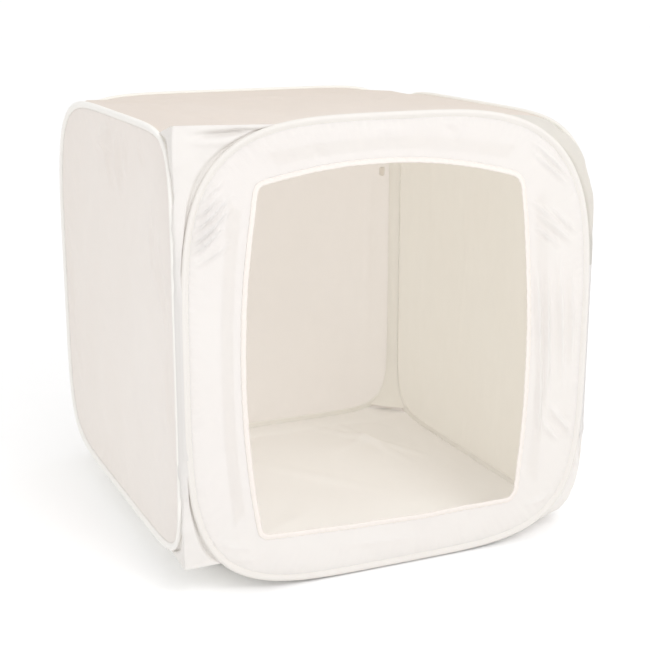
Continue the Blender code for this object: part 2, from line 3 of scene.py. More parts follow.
import bpy
import numpy as np
from mathutils import Matrix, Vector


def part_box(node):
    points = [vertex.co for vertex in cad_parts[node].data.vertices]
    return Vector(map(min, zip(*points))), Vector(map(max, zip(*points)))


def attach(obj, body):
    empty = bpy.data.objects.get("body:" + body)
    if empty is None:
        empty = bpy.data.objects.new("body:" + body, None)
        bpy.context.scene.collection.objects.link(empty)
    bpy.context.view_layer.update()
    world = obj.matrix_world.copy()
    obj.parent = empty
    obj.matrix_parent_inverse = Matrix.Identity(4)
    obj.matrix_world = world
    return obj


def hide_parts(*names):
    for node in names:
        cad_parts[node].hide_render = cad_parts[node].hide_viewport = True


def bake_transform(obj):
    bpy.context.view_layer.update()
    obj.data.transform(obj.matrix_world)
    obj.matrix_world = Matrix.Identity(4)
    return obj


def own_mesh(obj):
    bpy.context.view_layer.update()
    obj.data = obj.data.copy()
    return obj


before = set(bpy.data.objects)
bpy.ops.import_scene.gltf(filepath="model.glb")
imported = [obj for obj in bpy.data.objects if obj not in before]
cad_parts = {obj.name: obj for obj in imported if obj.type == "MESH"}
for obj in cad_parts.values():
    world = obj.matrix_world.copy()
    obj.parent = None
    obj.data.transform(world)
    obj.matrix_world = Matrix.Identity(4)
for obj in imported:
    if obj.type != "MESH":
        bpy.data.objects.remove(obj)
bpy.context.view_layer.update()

# The looks of a folding light tent: a cube of white cloth on four bound wire hoops.
# Metres, +Z up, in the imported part's own frame, with the open front facing -Y. On a
# face, across runs to the right as seen from outside, and out is away from the tent.

# Hoops
BINDING_RADIUS = 0.0036
# How square each hoop corner is: 2 is an ellipse, and more is squarer. Seen from
# outside, the order is top right, top left, bottom left, bottom right.
FRONT_CORNER_SHARES = (3.4, 4.0, 4.2, 4.5)
RIGHT_CORNER_SHARES = (9.0, 4.6, 6.0, 9.0)
BACK_CORNER_SHARES = (7.0, 8.0, 9.0, 6.0)
LEFT_CORNER_SHARES = (9.0, 4.0, 6.0, 8.0)

# Binding tape, folded over the wire and sewn to the cloth through its two lips
LIP_REACH = 0.0062
LIP_EDGE_GAP = 0.0002
LIP_HALF_GAP = 0.0006
LIP_RIPPLE = 0.0002
TAPE_STITCH_REACH = 0.0054
LINING_REACH = 0.0075
LINING_EDGE_GAP = 0.0004
BINDING_STEPS = 640
HOOP_ARC_POINTS = 400
# Sections of the tape and the lining: shares of the lip's reach, of the wire's radius
# where the tape leaves it, and of the lining's reach, and places round the wire
LIP_BACK_SHARE = 0.92
NECK_SHARES = (1.3, 0.35)
LINING_SHARES = (0.2, 0.4, 0.6, 0.8, 1.0)
TAPE_DEGREES = (125, 100, 75, 50, 25, 0, -25)
LINING_DEGREES = (-15, -40, -65, -90)
# How deep the wall cloth, and the top and the floor, reach into the binding
WALL_INSET = BINDING_RADIUS * 0.8
LEVEL_INSET = BINDING_RADIUS * 0.5

# Stitches
STITCH_LENGTH = 0.0026
STITCH_PITCH = 0.0040
STITCH_WIDTH = 0.0006
STITCH_RISE = 0.0004

# Opening
OPENING_TOP_RIGHT = (0.179, 0.530)
OPENING_TOP_LEFT = (-0.195, 0.541)
OPENING_BOTTOM_LEFT = (-0.195, 0.081)
OPENING_BOTTOM_RIGHT = (0.186, 0.072)
OPENING_TOP_BOW = 0.025
OPENING_LEFT_BOW = 0.0205
OPENING_RIGHT_BOW = 0.0165
OPENING_BOTTOM_BOW = 0.0045
OPENING_CORNER_REACHES = (0.006, 0.012)
HEM_WIDTH = 0.0075
HEM_HALF_THICKNESS = 0.0012
HEM_STITCH_REACH = 0.0062
HEM_STITCH_SHARE = 0.75
HEM_RIPPLE = 0.0002
HEM_STEPS = 180
# Half the hem's section: shares of its width and of its half thickness
HEM_SECTION_SHARES = (
    (1.0, 0.30), (0.96, 0.75), (0.80, 0.70), (0.55, 1.10), (0.30, 1.15), (0.12, 0.85), (0.0, 0.0)
)

# Tapes behind the border, and the tabs in the back corners
HOOK_TAPE_WIDTH = 0.016
HOOK_TAPE_EDGE = 0.010
HOOK_TAPE_RISE = 0.0013
HOOK_TAPE_LENGTH_SHARE = 0.8
HOOK_TAPE_STEPS = 160
# Its section: shares of its width and of its rise
HOOK_TAPE_SHARES = ((0.0, 0.35), (0.04, 1.0), (0.3, 1.0), (0.7, 1.0), (0.96, 1.0), (1.0, 0.35))
TAB_THICKNESS = 0.0016
TAB_CORNER_SHARE = 6.0
TAB_POINTS = 15

# Corners of the tent: height of the cloth's tip at the top and the bottom, and how far
# it reaches from the straight line between its two hoops, 0, to the box corner, 1
FRONT_LEFT_TIP_HEIGHTS = (0.621, 0.050)
FRONT_RIGHT_TIP_HEIGHTS = (0.621, 0.008)
BACK_RIGHT_TIP_HEIGHTS = (0.600, 0.006)
BACK_LEFT_TIP_HEIGHTS = (0.612, 0.030)
FRONT_LEFT_TIP_SHARES = (1.0, 1.0)
FRONT_RIGHT_TIP_SHARES = (0.12, 0.2)
BACK_RIGHT_TIP_SHARES = (0.25, 0.4)
BACK_LEFT_TIP_SHARES = (0.15, 0.4)
GUSSET_TOP_START = 0.400
GUSSET_BOTTOM_START = 0.200
GUSSET_END_DROP = 0.006
GUSSET_ROWS = 72
GUSSET_COLUMNS = 28
STRIP_ROWS = 50
EDGE_ARC_ROWS = 9
RIDGE_ROUNDING = 0.006
SEAM_SINK = 0.0006
SEAM_RISE = 0.0041
SEAM_RISE_FADE = 1.6
# The gussets' unevenness lies level along x less this share of y
GUSSET_LEAN_SHARE = 0.8
# How far the hoops may curve away where the inner corner's foot and head end
BACK_CORNER_SPREADS = (0.036, 0.018)
FRONT_CORNER_SPREADS = (0.005, 0.005)
INNER_CORNER_INSET = 0.0065
INNER_CORNER_SHIFT = 0.75
INNER_CORNER_OFF = 0.0010
INNER_CORNER_DEPTH = 0.0055
INNER_CORNER_ROWS = 90
VALLEY_DEPTH = 0.0045
VALLEY_SHARE = 0.16
VALLEY_PLACE = 0.006
VALLEY_WIDTH = 0.0036
VALLEY_START = 0.022
VALLEY_FULL = 0.060

# Cloth
CLOTH_STEP = 0.004
BORDER_STEP = 0.0025
BORDER_DEPTH = 0.11
SEAM_FLAT = 0.0035
PANEL_BELLY = 0.005
BORDER_BELLY = 0.002
TOP_SAG = 0.012
FLOOR_LIFT = 0.0007
FLOOR_SLACK = 0.0012
# How fast the unevenness grows from a held edge: at 8 it is full an eighth of the way in
PANEL_FADE = 8
GUSSET_EDGE_FADE = 6
GUSSET_TIP_FADE = 8
TOP_FADE = 9
TAB_FADE = 6
# Ripples in the cloth: each is its height, its wavelength and its seed
PANEL_RIPPLES = ((0.0024, 0.17, 0.0), (0.0007, 0.05, 1.3))
BORDER_RIPPLES = ((0.0011, 0.12, 0.7), (0.0004, 0.035, 2.2))
GUSSET_RIPPLES = ((0.0014, 0.07, 0.9), (0.0007, 0.03, 2.0))
TOP_RIPPLES = ((0.0022, 0.19, 0.4), (0.0006, 0.06, 1.9))
FLOOR_RIPPLES = ((0.0010, 0.16, 1.1),)
CREASE_POINT = 1.7
# Puckers round a seam: each is its height, its count, how far and how often it wanders,
# and where it starts
BINDING_PUCKERS = ((1.0, 211, 2.0, 9, 0.0), (0.7, 137, 0.0, 0, 1.3))
HEM_PUCKERS = ((1.0, 173, 2.0, 8, 0.0), (0.6, 101, 0.0, 0, 0.0))
FINE_GATHERS = ((1.0, 151, 2.0, 7, 0.0), (0.6, 97, 3.0, 5, 0.0))
LONG_GATHERS = ((1.0, 59, 2.0, 3, 0.0), (0.7, 37, 2.0, 4, 0.0))
BORDER_PUCKERS = ((1.0, 163, 2.0, 6, 0.0), (0.6, 89, 3.0, 5, 0.0))
BORDER_PUCKER_HEIGHT = 0.0006
BORDER_PUCKER_REACH = 0.014
BORDER_RISE = 0.018
GATHER_START = 0.007
FINE_GATHER_SHARE = 0.5
FINE_GATHER_REACH = 0.012
LONG_GATHER_SHARE = 0.7
LONG_GATHER_REACH = 0.030
TIP_STEPS = 10
FLOOR_HALF_WIDTH = 0.255
FLOOR_CORNER_RADIUS = 0.060
FLOOR_FRONT_LEFT_RADIUS = 0.180

# Light and camera
CAMERA_PLACE = (-0.7779, -1.8220, 0.8002)
CAMERA_YAW = 23.88
CAMERA_PITCH = -14.97
CAMERA_LENS = 73.79
SOFTBOX_PLACE = (0.2, -2.3, 2.2)
SOFTBOX_TARGET = (0.0, -0.3, 0.3)
SOFTBOX_SIZE = 1.2
SOFTBOX_POWER = 22.0
WALL_STRENGTH = 1.03
FLOOR_SIZE = 30.0

TINY = 1e-9


def linear(hex_colour):
    """An sRGB hex colour as linear light."""
    values = []
    for start in (0, 2, 4):
        value = int(hex_colour[start : start + 2], 16) / 255
        values.append(value / 12.92 if value <= 0.04045 else ((value + 0.055) / 1.055) ** 2.4)
    return (*values, 1.0)


# Materials

def add_node(tree, kind, inputs=None, **settings):
    """Adds a shader node. An input is a value, or another node's output to link."""
    node = tree.nodes.new("ShaderNode" + kind)
    for name, value in settings.items():
        setattr(node, name, value)
    for name, value in (inputs or {}).items():
        if isinstance(value, bpy.types.NodeSocket):
            tree.links.new(value, node.inputs[name])
        else:
            node.inputs[name].default_value = value
    return node


def new_material(name):
    material = bpy.data.materials.new(name)
    material.use_nodes = True
    material.node_tree.nodes.clear()
    return material, material.node_tree


def finished(material, surface, through=None, through_share=0.0):
    """Ends a material's nodes. Where it has a shader for light let through, it takes that share."""
    tree = material.node_tree
    if through:
        inputs = {"Fac": through_share, 1: surface.outputs["BSDF"], 2: through.outputs["BSDF"]}
        surface = add_node(tree, "MixShader", inputs)
    add_node(tree, "OutputMaterial", {"Surface": surface.outputs[0]})
    return material


def woven_thread(tree, place, direction, pitch):
    """Height of the threads that run across one direction."""
    along = add_node(tree, "VectorMath", {0: place, 1: direction}, operation="DOT_PRODUCT")
    inputs = {0: along.outputs["Value"], 1: math.tau / pitch}
    turns = add_node(tree, "Math", inputs, operation="MULTIPLY")
    return add_node(tree, "Math", {0: turns.outputs[0]}, operation="SINE").outputs[0]


def drifting(tree, drift, colours):
    """A colour that drifts softly between two."""
    inputs = {"Factor": drift.outputs["Fac"], "A": linear(colours[0]), "B": linear(colours[1])}
    return add_node(tree, "Mix", inputs, data_type="RGBA").outputs["Result"]


def cloth_material(name, finish):
    """A thin woven cloth: threads, fine creases, faint colour drift, and light let through.
    A finish may give the cloth's inner side its own colours, which paint the shade inside the tent."""
    material, tree = new_material(name)
    place = add_node(tree, "TexCoord").outputs["Object"]
    threads = [woven_thread(tree, place, way, finish["pitch"]) for way in finish["thread_ways"]]
    weave = add_node(tree, "Math", {0: threads[0], 1: threads[1]}, operation="MULTIPLY")
    inputs = {"Vector": place, "Scale": 1 / CREASE_SIZE, "Detail": 5.0, "Roughness": 0.6}
    creases = add_node(tree, "TexNoise", inputs)
    drift = add_node(tree, "TexNoise", {"Vector": place, "Scale": 1 / DRIFT_SIZE, "Detail": 2.0})
    colour = drifting(tree, drift, (finish["colour"], finish["shade"]))
    # Painted shade: the side that faces into the tent takes the finish's darker inner colours.
    if "inside" in finish:
        within = add_node(tree, "NewGeometry").outputs["Backfacing"]
        inputs = {"Factor": within, "A": colour, "B": drifting(tree, drift, finish["inside"])}
        colour = add_node(tree, "Mix", inputs, data_type="RGBA").outputs["Result"]
    inputs = {"Strength": 0.5, "Distance": CREASE_HEIGHT, "Height": creases.outputs["Fac"]}
    creased_normal = add_node(tree, "Bump", inputs).outputs["Normal"]
    inputs = {"Strength": finish["weave_strength"], "Distance": WEAVE_HEIGHT}
    inputs |= {"Height": weave.outputs[0], "Normal": creased_normal}
    woven_normal = add_node(tree, "Bump", inputs).outputs["Normal"]
    inputs = {**CLOTH_SURFACE, "Base Color": colour, "Normal": woven_normal}
    front = add_node(tree, "BsdfPrincipled", inputs)
    through = add_node(tree, "BsdfTranslucent", {"Color": colour, "Normal": creased_normal})
    return finished(material, front, through, finish["through_share"])


# White nylon taffeta, plain woven: a smooth matt white with a slight warm cast, a soft
# sheen at grazing angles and light glowing through it. The real threads are 0.25 mm
# apart and are drawn 1.2 mm apart, so that they show.
NYLON_IOR = 1.53
CLOTH_SURFACE = {
    "Roughness": 0.72,
    "IOR": NYLON_IOR,
    "Specular IOR Level": 0.25,
    "Sheen Weight": 0.15,
    "Sheen Roughness": 0.5,
}
CREASE_SIZE = 0.035
CREASE_HEIGHT = 0.0012
WEAVE_HEIGHT = 0.00015
DRIFT_SIZE = 0.16
NYLON = {
    "colour": "f5f4f3",
    "shade": "f3f1f0",
    "pitch": 0.0012,
    "thread_ways": ((1.0, 1.0, 0.0), (0.0, 0.0, 1.0)),
    "weave_strength": 0.12,
    "through_share": 0.48,
}
# The walls are drawn a little greyer than the front border: painted shade. Their inner
# sides are drawn creamier and darker still, darkest on the right wall: painted shade inside
# the tent. The floor, which lies on white paper, is dense enough to hide it.
LEVEL_THREADS = ((1.0, 0.0, 0.0), (0.0, 1.0, 0.0))
WALL_NYLON_PAINTED_SHADE = dict(NYLON, colour="f1eeec", shade="efebe8")
BACK_NYLON_PAINTED_SHADE = dict(WALL_NYLON_PAINTED_SHADE, inside=("f1ebe4", "efe8e0"))
RIGHT_NYLON_PAINTED_SHADE = dict(WALL_NYLON_PAINTED_SHADE, inside=("ebe6db", "e9e3d7"))
# Painted shade: the top's cloth is drawn darker and creamier, as the top lies in shade.
TOP_NYLON_PAINTED_SHADE = dict(NYLON, colour="e9e1da", shade="e6ddd5", thread_ways=LEVEL_THREADS)
# Painted light: the floor's cloth is drawn whiter than the rest, for the light that falls on it
# through the top and the opening.
FLOOR_NYLON_PAINTED_LIGHT = dict(TOP_NYLON_PAINTED_SHADE, colour="fefdf9", shade="fcfaf6", through_share=0.06)
# Polyester binding tape, close woven and folded double: a little greyer and greener than
# the cloth, denser and duller, with ribs across its length. The left hoop's tape is drawn
# whiter: painted light on that shaded side. The opening's hem is creamier.
TAPE = dict(NYLON, colour="f0ece7", shade="ede9e3", pitch=0.0009)
TAPE |= {"weave_strength": 0.3, "through_share": 0.16}
LEFT_TAPE_PAINTED_LIGHT = dict(TAPE, colour="fffdf9", shade="fdfaf5")
HEM_TAPE = dict(TAPE, colour="f4eee8", shade="f2ebe5", through_share=0.15)
# Inside the tent the wall's own cloth turns over each wire, doubled and so denser. It is
# drawn whiter than the walls: painted light, lifting the shade beside the wires.
LINING = dict(NYLON, colour="fcfaf3", shade="faf7ef", through_share=0.14)
INNER_CORNER = dict(NYLON, colour="f9f7f0", shade="f7f5ed", through_share=0.04)
# Round the front right corner the top gusset's cloth is drawn greyer: painted shade.
CORNER_NYLON_PAINTED_SHADE = dict(NYLON, colour="e5e3de", shade="e1dfd9")
# The front left corner, stretched the furthest, is drawn darker and lets less light through:
# painted light, so that its strip in the shade between the two bindings reads as light as
# its open cloth.
FRONT_LEFT_NYLON_PAINTED_LIGHT = dict(NYLON, colour="e6e3e0", shade="e4e1dd", through_share=0.16)

HOOK_PITCH = 0.0015
HOOK_HEIGHT = 0.0006
FUZZ_SIZE = 0.0008
FUZZ_HEIGHT = 0.0001
POLISH_DRIFT = 0.08


def hook_tape_material():
    """Nylon hook tape: white, rough and dull, with rows of small hooks 1.5 mm apart."""
    material, tree = new_material("hook_tape_nylon")
    place = add_node(tree, "TexCoord").outputs["Object"]
    inputs = {"Vector": place, "Scale": 1 / HOOK_PITCH, "Randomness": 0.25}
    hooks = add_node(tree, "TexVoronoi", inputs).outputs["Distance"]
    inputs = {"Strength": 0.8, "Distance": HOOK_HEIGHT, "Height": hooks}
    normal = add_node(tree, "Bump", inputs, invert=True).outputs["Normal"]
    colour = linear("f1ece4")
    inputs = {"Base Color": colour, "Roughness": 0.85, "IOR": NYLON_IOR, "Normal": normal}
    surface = add_node(tree, "BsdfPrincipled", inputs)
    through = add_node(tree, "BsdfTranslucent", {"Color": colour})
    return finished(material, surface, through, 0.4)


def metal_material(name, colour, roughness, grain):
    """A drawn or crimped metal, whose slightly uneven polish breaks up its shine."""
    material, tree = new_material(name)
    place = add_node(tree, "TexCoord").outputs["Object"]
    inputs = {"Vector": place, "Scale": 1 / grain, "Detail": 3.0}
    inputs = {"Value": add_node(tree, "TexNoise", inputs).outputs["Fac"]}
    inputs |= {"To Min": roughness - POLISH_DRIFT, "To Max": roughness + POLISH_DRIFT}
    rough = add_node(tree, "MapRange", inputs).outputs["Result"]
    inputs = {"Base Color": linear(colour), "Metallic": 1.0, "Roughness": rough}
    return finished(material, add_node(tree, "BsdfPrincipled", inputs))


def thread_material():
    """Spun polyester thread: bright, slightly shiny white, with a faint fuzz."""
    material, tree = new_material("polyester_thread")
    place = add_node(tree, "TexCoord").outputs["Object"]
    inputs = {"Vector": place, "Scale": 1 / FUZZ_SIZE, "Detail": 2.0}
    fuzz = add_node(tree, "TexNoise", inputs).outputs["Fac"]
    inputs = {"Strength": 0.3, "Distance": FUZZ_HEIGHT, "Height": fuzz}
    normal = add_node(tree, "Bump", inputs).outputs["Normal"]
    inputs = {"Base Color": linear("f7f3ea"), "Roughness": 0.5, "IOR": NYLON_IOR, "Normal": normal}
    return finished(material, add_node(tree, "BsdfPrincipled", inputs))


CLOTHS = (
    ("cloth", "white_nylon_taffeta", NYLON),
    ("left_cloth", "white_nylon_taffeta_left", WALL_NYLON_PAINTED_SHADE),
    ("back_cloth", "white_nylon_taffeta_back", BACK_NYLON_PAINTED_SHADE),
    ("right_cloth", "white_nylon_taffeta_right", RIGHT_NYLON_PAINTED_SHADE),
    ("top_cloth", "white_nylon_taffeta_top", TOP_NYLON_PAINTED_SHADE),
    ("floor_cloth_painted_light", "white_nylon_taffeta_floor", FLOOR_NYLON_PAINTED_LIGHT),
    ("tape", "polyester_binding_tape", TAPE),
    ("left_tape_painted_light", "polyester_binding_tape_left", LEFT_TAPE_PAINTED_LIGHT),
    ("hem", "polyester_hem_tape", HEM_TAPE),
    ("lining", "white_nylon_taffeta_doubled", LINING),
    ("inner_corner", "white_nylon_taffeta_inner_corner", INNER_CORNER),
    ("corner_cloth_painted_shade", "white_nylon_taffeta_corner", CORNER_NYLON_PAINTED_SHADE),
    ("front_left_cloth_painted_light", "white_nylon_taffeta_front_corner", FRONT_LEFT_NYLON_PAINTED_LIGHT),
)
MATERIALS = {key: cloth_material(name, finish) for key, name, finish in CLOTHS}
MATERIALS["thread"] = thread_material()
MATERIALS["hook_tape"] = hook_tape_material()
MATERIALS["steel"] = metal_material("drawn_spring_steel", "9a9a9c", 0.35, 0.002)
MATERIALS["ferrule"] = metal_material("crimped_aluminium", "c4c4c6", 0.4, 0.0015)


# Shapes in numpy. A sheet is an array of points: rows, columns, and x, y, z.

def ripple(x, y, wavelength, seed):
    """A smooth uneven surface, about -1 to 1, from a few crossing waves."""
    total = 0.0
    for k in range(6):
        angle = 2.4 * k + seed
        length = wavelength * (0.75 + 0.13 * k)
        phase = 1.7 * k * k + 3.1 * seed
        total = total + np.sin(math.tau * (x * math.cos(angle) + y * math.sin(angle)) / length + phase)
    return total / 3.2


def rippled(x, y, ripples, seed=0.0):
    """Ripples laid over each other."""
    return sum(height * ripple(x, y, length, seed + own) for height, length, own in ripples)


def puckered(turn, puckers):
    """Uneven small waves round a closed seam."""
    total = 0.0
    for height, count, sway, often, start in puckers:
        total = total + height * np.sin(count * turn + sway * np.sin(often * turn) + start)
    return total


def creased(x, y, creases):
    """Soft ridges, pointed at both ends. Each is its start, its end, its width and height."""
    total = 0.0
    for ax, ay, bx, by, width, height in creases:
        length = math.hypot(bx - ax, by - ay)
        along = ((x - ax) * (bx - ax) + (y - ay) * (by - ay)) / length**2
        aside = ((x - ax) * (by - ay) - (y - ay) * (bx - ax)) / length
        ends = np.clip(along * (1 - along) * 4, 0, 1) ** CREASE_POINT
        total = total + height * ends * np.exp(-((aside / width) ** 2))
    return total


def surface_normals(points, closed=False):
    """Unit normals of a grid of points."""
    if closed:
        across = np.roll(points, -1, axis=1) - np.roll(points, 1, axis=1)
    else:
        across = np.gradient(points, axis=1)
    down = np.gradient(points, axis=0)
    normal = np.cross(across, down)
    return normal / np.maximum(np.linalg.norm(normal, axis=-1, keepdims=True), TINY)


def area_of(points, closed=False):
    """The area of a grid of points, which is the flat area of the cloth it is made of."""
    if closed:
        points = np.concatenate([points, points[:, :1]], axis=1)
    diagonal = points[1:, 1:] - points[:-1, :-1]
    other = points[1:, :-1] - points[:-1, 1:]
    return float(np.linalg.norm(np.cross(diagonal, other), axis=-1).sum() / 2)


def resampled(points, count):
    """count + 1 points at even distances along a polyline."""
    steps = np.linalg.norm(np.diff(points, axis=0), axis=1)
    marks = np.concatenate([[0.0], np.cumsum(steps)])
    targets = np.linspace(0.0, marks[-1], count + 1)
    return np.stack([np.interp(targets, marks, points[:, k]) for k in range(points.shape[1])], axis=1)


def smooth_step(share):
    share = np.clip(share, 0.0, 1.0)
    return share * share * (3 - 2 * share)


def corner_pull(a, b, share):
    """How far a point of a square is drawn in, so that the square's edge has round corners."""
    rim = np.maximum(np.maximum(np.abs(a), np.abs(b)), TINY)
    power = (np.abs(a) / rim) ** share + (np.abs(b) / rim) ** share
    return np.maximum(power, 1.0) ** (-1 / share)


def dome(u, v):
    """1 in the middle of a sheet, falling smoothly to 0 along its four edges."""
    return (16 * u * (1 - u) * v * (1 - v)) ** 2


class Face:
    """One upright side, placed by its packed binding."""

    def __init__(self, name, turn, corner_shares):
        low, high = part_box(f"{name}_binding")
        size = high - low
        middle = (low + high) / 2
        self.name = name
        self.turn = np.array(Matrix.Rotation(math.radians(turn), 3, "Z"))
        self.reach = max(size.x, size.y) / 2 - BINDING_RADIUS
        self.distance = max(abs(middle.x), abs(middle.y))
        self.out_way = self.turn @ (0.0, -1.0, 0.0)
        self.half_height = size.z / 2 - BINDING_RADIUS
        self.middle = middle.z
        self.top = self.middle + self.half_height
        self.bottom = self.middle - self.half_height
        self.corner_shares = corner_shares

    def world(self, across, height, out=0.0):
        across, height, out = np.broadcast_arrays(across, height, out)
        return np.stack([across, -self.distance - out, height], axis=-1) @ self.turn.T

    def share_at(self, a, b):
        top_right, top_left, bottom_left, bottom_right = self.corner_shares
        upper = np.where(a > 0, top_right, top_left)
        lower = np.where(a > 0, bottom_right, bottom_left)
        return np.where(b > 0, upper, lower)

    def place(self, a, b, inset=0.0):
        """Where a point of a square, -1 to 1 each way, lies inside the hoop."""
        pull = corner_pull(a, b, self.share_at(a, b))
        across = a * pull * (self.reach - inset)
        height = self.middle + b * pull * (self.half_height - inset)
        return across, height

    def arc(self, side, rise):
        """The hoop from the middle of an upright side to the middle of its top or bottom."""
        share = float(self.share_at(np.array(side), np.array(rise)))
        angle = np.linspace(0.0, math.pi / 2, HOOP_ARC_POINTS)
        x = np.clip(np.cos(angle), 0.0, 1.0) ** (2 / share)
        z = np.clip(np.sin(angle), 0.0, 1.0) ** (2 / share)
        return np.stack([side * x * self.reach, self.middle + rise * z * self.half_height], axis=1)

    def outline(self, count):
        """The hoop's closed outline, anticlockwise as seen from outside, from its right."""
        quadrants = []
        for side, rise in ((1, 1), (-1, 1), (-1, -1), (1, -1)):
            quadrant = self.arc(side, rise)
            quadrants.append(quadrant[:-1] if side * rise > 0 else quadrant[::-1][:-1])
        closed = np.concatenate(quadrants + [quadrants[0][:1]])
        return resampled(closed, count)[:-1]


FRONT = Face("front", 0, FRONT_CORNER_SHARES)
RIGHT = Face("right", 90, RIGHT_CORNER_SHARES)
BACK = Face("back", 180, BACK_CORNER_SHARES)
LEFT = Face("left", 270, LEFT_CORNER_SHARES)
FACES = (FRONT, RIGHT, BACK, LEFT)


def add_sheet(name, points, material, closed=False):
    """A mesh through a grid of points. Closed joins the last column to the first."""
    rows, columns = points.shape[:2]
    index = np.arange(rows * columns).reshape(rows, columns)
    if closed:
        index = np.concatenate([index, index[:, :1]], axis=1)
    quads = np.stack([index[:-1, :-1], index[1:, :-1], index[1:, 1:], index[:-1, 1:]], axis=-1)
    return add_mesh(name, points.reshape(-1, 3), quads.reshape(-1, 4), material)


def add_mesh(name, points, faces, material):
    mesh = bpy.data.meshes.new(name)
    mesh.from_pydata(points.tolist(), [], faces.tolist())
    mesh.materials.append(MATERIALS[material])
    mesh.shade_smooth()
    obj = bpy.data.objects.new(name, mesh)
    bpy.context.scene.collection.objects.link(obj)
    return obj


def add_stitches(name, path, rise):
    """A row of stitches along a closed path. The rise points off the cloth."""
    path = np.concatenate([path, path[:1]])
    length = np.linalg.norm(np.diff(path, axis=0), axis=1).sum()
    count = int(length / STITCH_PITCH)
    marks = resampled(path, count)
    centres, along = marks[:-1], np.diff(marks, axis=0)
    along /= np.linalg.norm(along, axis=1, keepdims=True)
    aside = np.cross(along, rise)
    corners = np.stack(
        [
            centres - along * STITCH_LENGTH / 2,
            centres + aside * STITCH_WIDTH / 2 + rise * STITCH_RISE / 2,
            centres - aside * STITCH_WIDTH / 2 + rise * STITCH_RISE / 2,
            centres + rise * STITCH_RISE,
            centres + along * STITCH_LENGTH / 2,
        ],
        axis=1,
    )
    faces = np.array([(0, 1, 3), (0, 3, 2), (4, 3, 1), (4, 2, 3), (0, 2, 4), (0, 4, 1)])
    starts = np.arange(count)[:, None, None] * corners.shape[1]
    return add_mesh(name, corners.reshape(-1, 3), (faces + starts).reshape(-1, 3), "thread")


# Bindings

def outward_ways(outline):
    """Unit directions in the plane that point away from a closed anticlockwise outline."""
    step = np.roll(outline, -1, axis=0) - np.roll(outline, 1, axis=0)
    step /= np.linalg.norm(step, axis=1, keepdims=True)
    return np.stack([step[:, 1], -step[:, 0]], axis=1)


def round_wire(places):
    angles = [math.radians(degrees) for degrees in places]
    return [(BINDING_RADIUS * math.cos(angle), BINDING_RADIUS * math.sin(angle)) for angle in angles]


def tape_section():
    """The tape outside: from its lip on the cloth and round the wire's outer side.
    Each place is (towards the outside of the hoop, off the face)."""
    lip = [(-LIP_REACH, LIP_EDGE_GAP), (-LIP_BACK_SHARE * LIP_REACH, LIP_HALF_GAP)]
    lip.append((-NECK_SHARES[0] * BINDING_RADIUS, NECK_SHARES[1] * BINDING_RADIUS))
    return lip + round_wire(TAPE_DEGREES)


def lining_section():
    """The cloth inside: round the wire's inner side, then smoothly down onto the wall."""
    slope = []
    for share in LINING_SHARES:
        drop = BINDING_RADIUS + (LINING_EDGE_GAP - BINDING_RADIUS) * float(smooth_step(share))
        slope.append((-LINING_REACH * share, -drop))
    return round_wire(LINING_DEGREES) + slope


def build_binding(face):
    outline = face.outline(BINDING_STEPS)
    ways = outward_ways(outline)
    turn = np.linspace(0.0, math.tau, BINDING_STEPS, endpoint=False)
    pucker = puckered(turn, BINDING_PUCKERS)
    # The left hoop's tape carries painted light.
    finishes = {"tape": "left_tape_painted_light" if face is LEFT else "tape", "lining": "lining"}
    for layer, section in (("tape", tape_section()), ("lining", lining_section())):
        rows = []
        for reach, off in section:
            lip = smooth_step((-reach - BINDING_RADIUS) / (LIP_REACH - BINDING_RADIUS))
            place = outline + ways * (reach - LIP_RIPPLE * lip * pucker)[:, None]
            rows.append(face.world(*place.T, off))
        name = f"{face.name}_binding_{layer}"
        binding = add_sheet(name, np.array(rows), finishes[layer], closed=True)
        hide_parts(f"{face.name}_binding")
        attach(binding, face.name)
    path = face.world(*(outline - ways * TAPE_STITCH_REACH).T, LIP_HALF_GAP + STITCH_RISE / 4)
    stitches = add_stitches(f"{face.name}_binding_stitches", path, face.out_way)
    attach(stitches, face.name)


# Upright panels. Each crease is the place on its face where it starts, the place where
# it ends, its width and its height.

LEFT_CREASES = (
    # Gathers that hang from the top edge
    (-0.030, 0.594, 0.045, 0.552, 0.008, 0.0090),
    (0.008, 0.600, 0.022, 0.500, 0.006, 0.0066),
    (0.052, 0.602, 0.075, 0.490, 0.008, 0.0076),
    (0.096, 0.600, 0.104, 0.530, 0.006, 0.0054),
    (0.150, 0.596, 0.170, 0.540, 0.007, 0.0050),
    # Long upright folds beside the front edge
    (0.206, 0.540, 0.222, 0.390, 0.007, 0.0060),
    (0.232, 0.520, 0.250, 0.330, 0.008, 0.0066),
    (0.262, 0.500, 0.272, 0.360, 0.006, 0.0050),
    (0.246, 0.350, 0.256, 0.200, 0.009, 0.0046),
    # Upright ripples beside the back edge
    (-0.262, 0.440, -0.256, 0.180, 0.008, 0.0050),
    (-0.228, 0.330, -0.220, 0.120, 0.010, 0.0036),
    (-0.235, 0.090, -0.120, 0.050, 0.010, 0.0057),
    (-0.250, 0.540, -0.150, 0.430, 0.016, 0.0038),
    (0.180, 0.560, 0.270, 0.480, 0.012, 0.0034),
    (-0.200, 0.330, 0.230, 0.350, 0.030, -0.0023),
    (0.200, 0.140, 0.280, 0.230, 0.012, 0.0030),
)
RIGHT_CREASES = (
    (-0.152, 0.560, -0.150, 0.050, 0.008, -0.0031),
    (0.060, 0.540, 0.075, 0.060, 0.012, 0.0017),
    (-0.280, 0.520, -0.200, 0.430, 0.012, 0.0025),
    (0.180, 0.500, 0.270, 0.440, 0.012, 0.0022),
    (0.200, 0.060, 0.270, 0.130, 0.012, 0.0022),
)
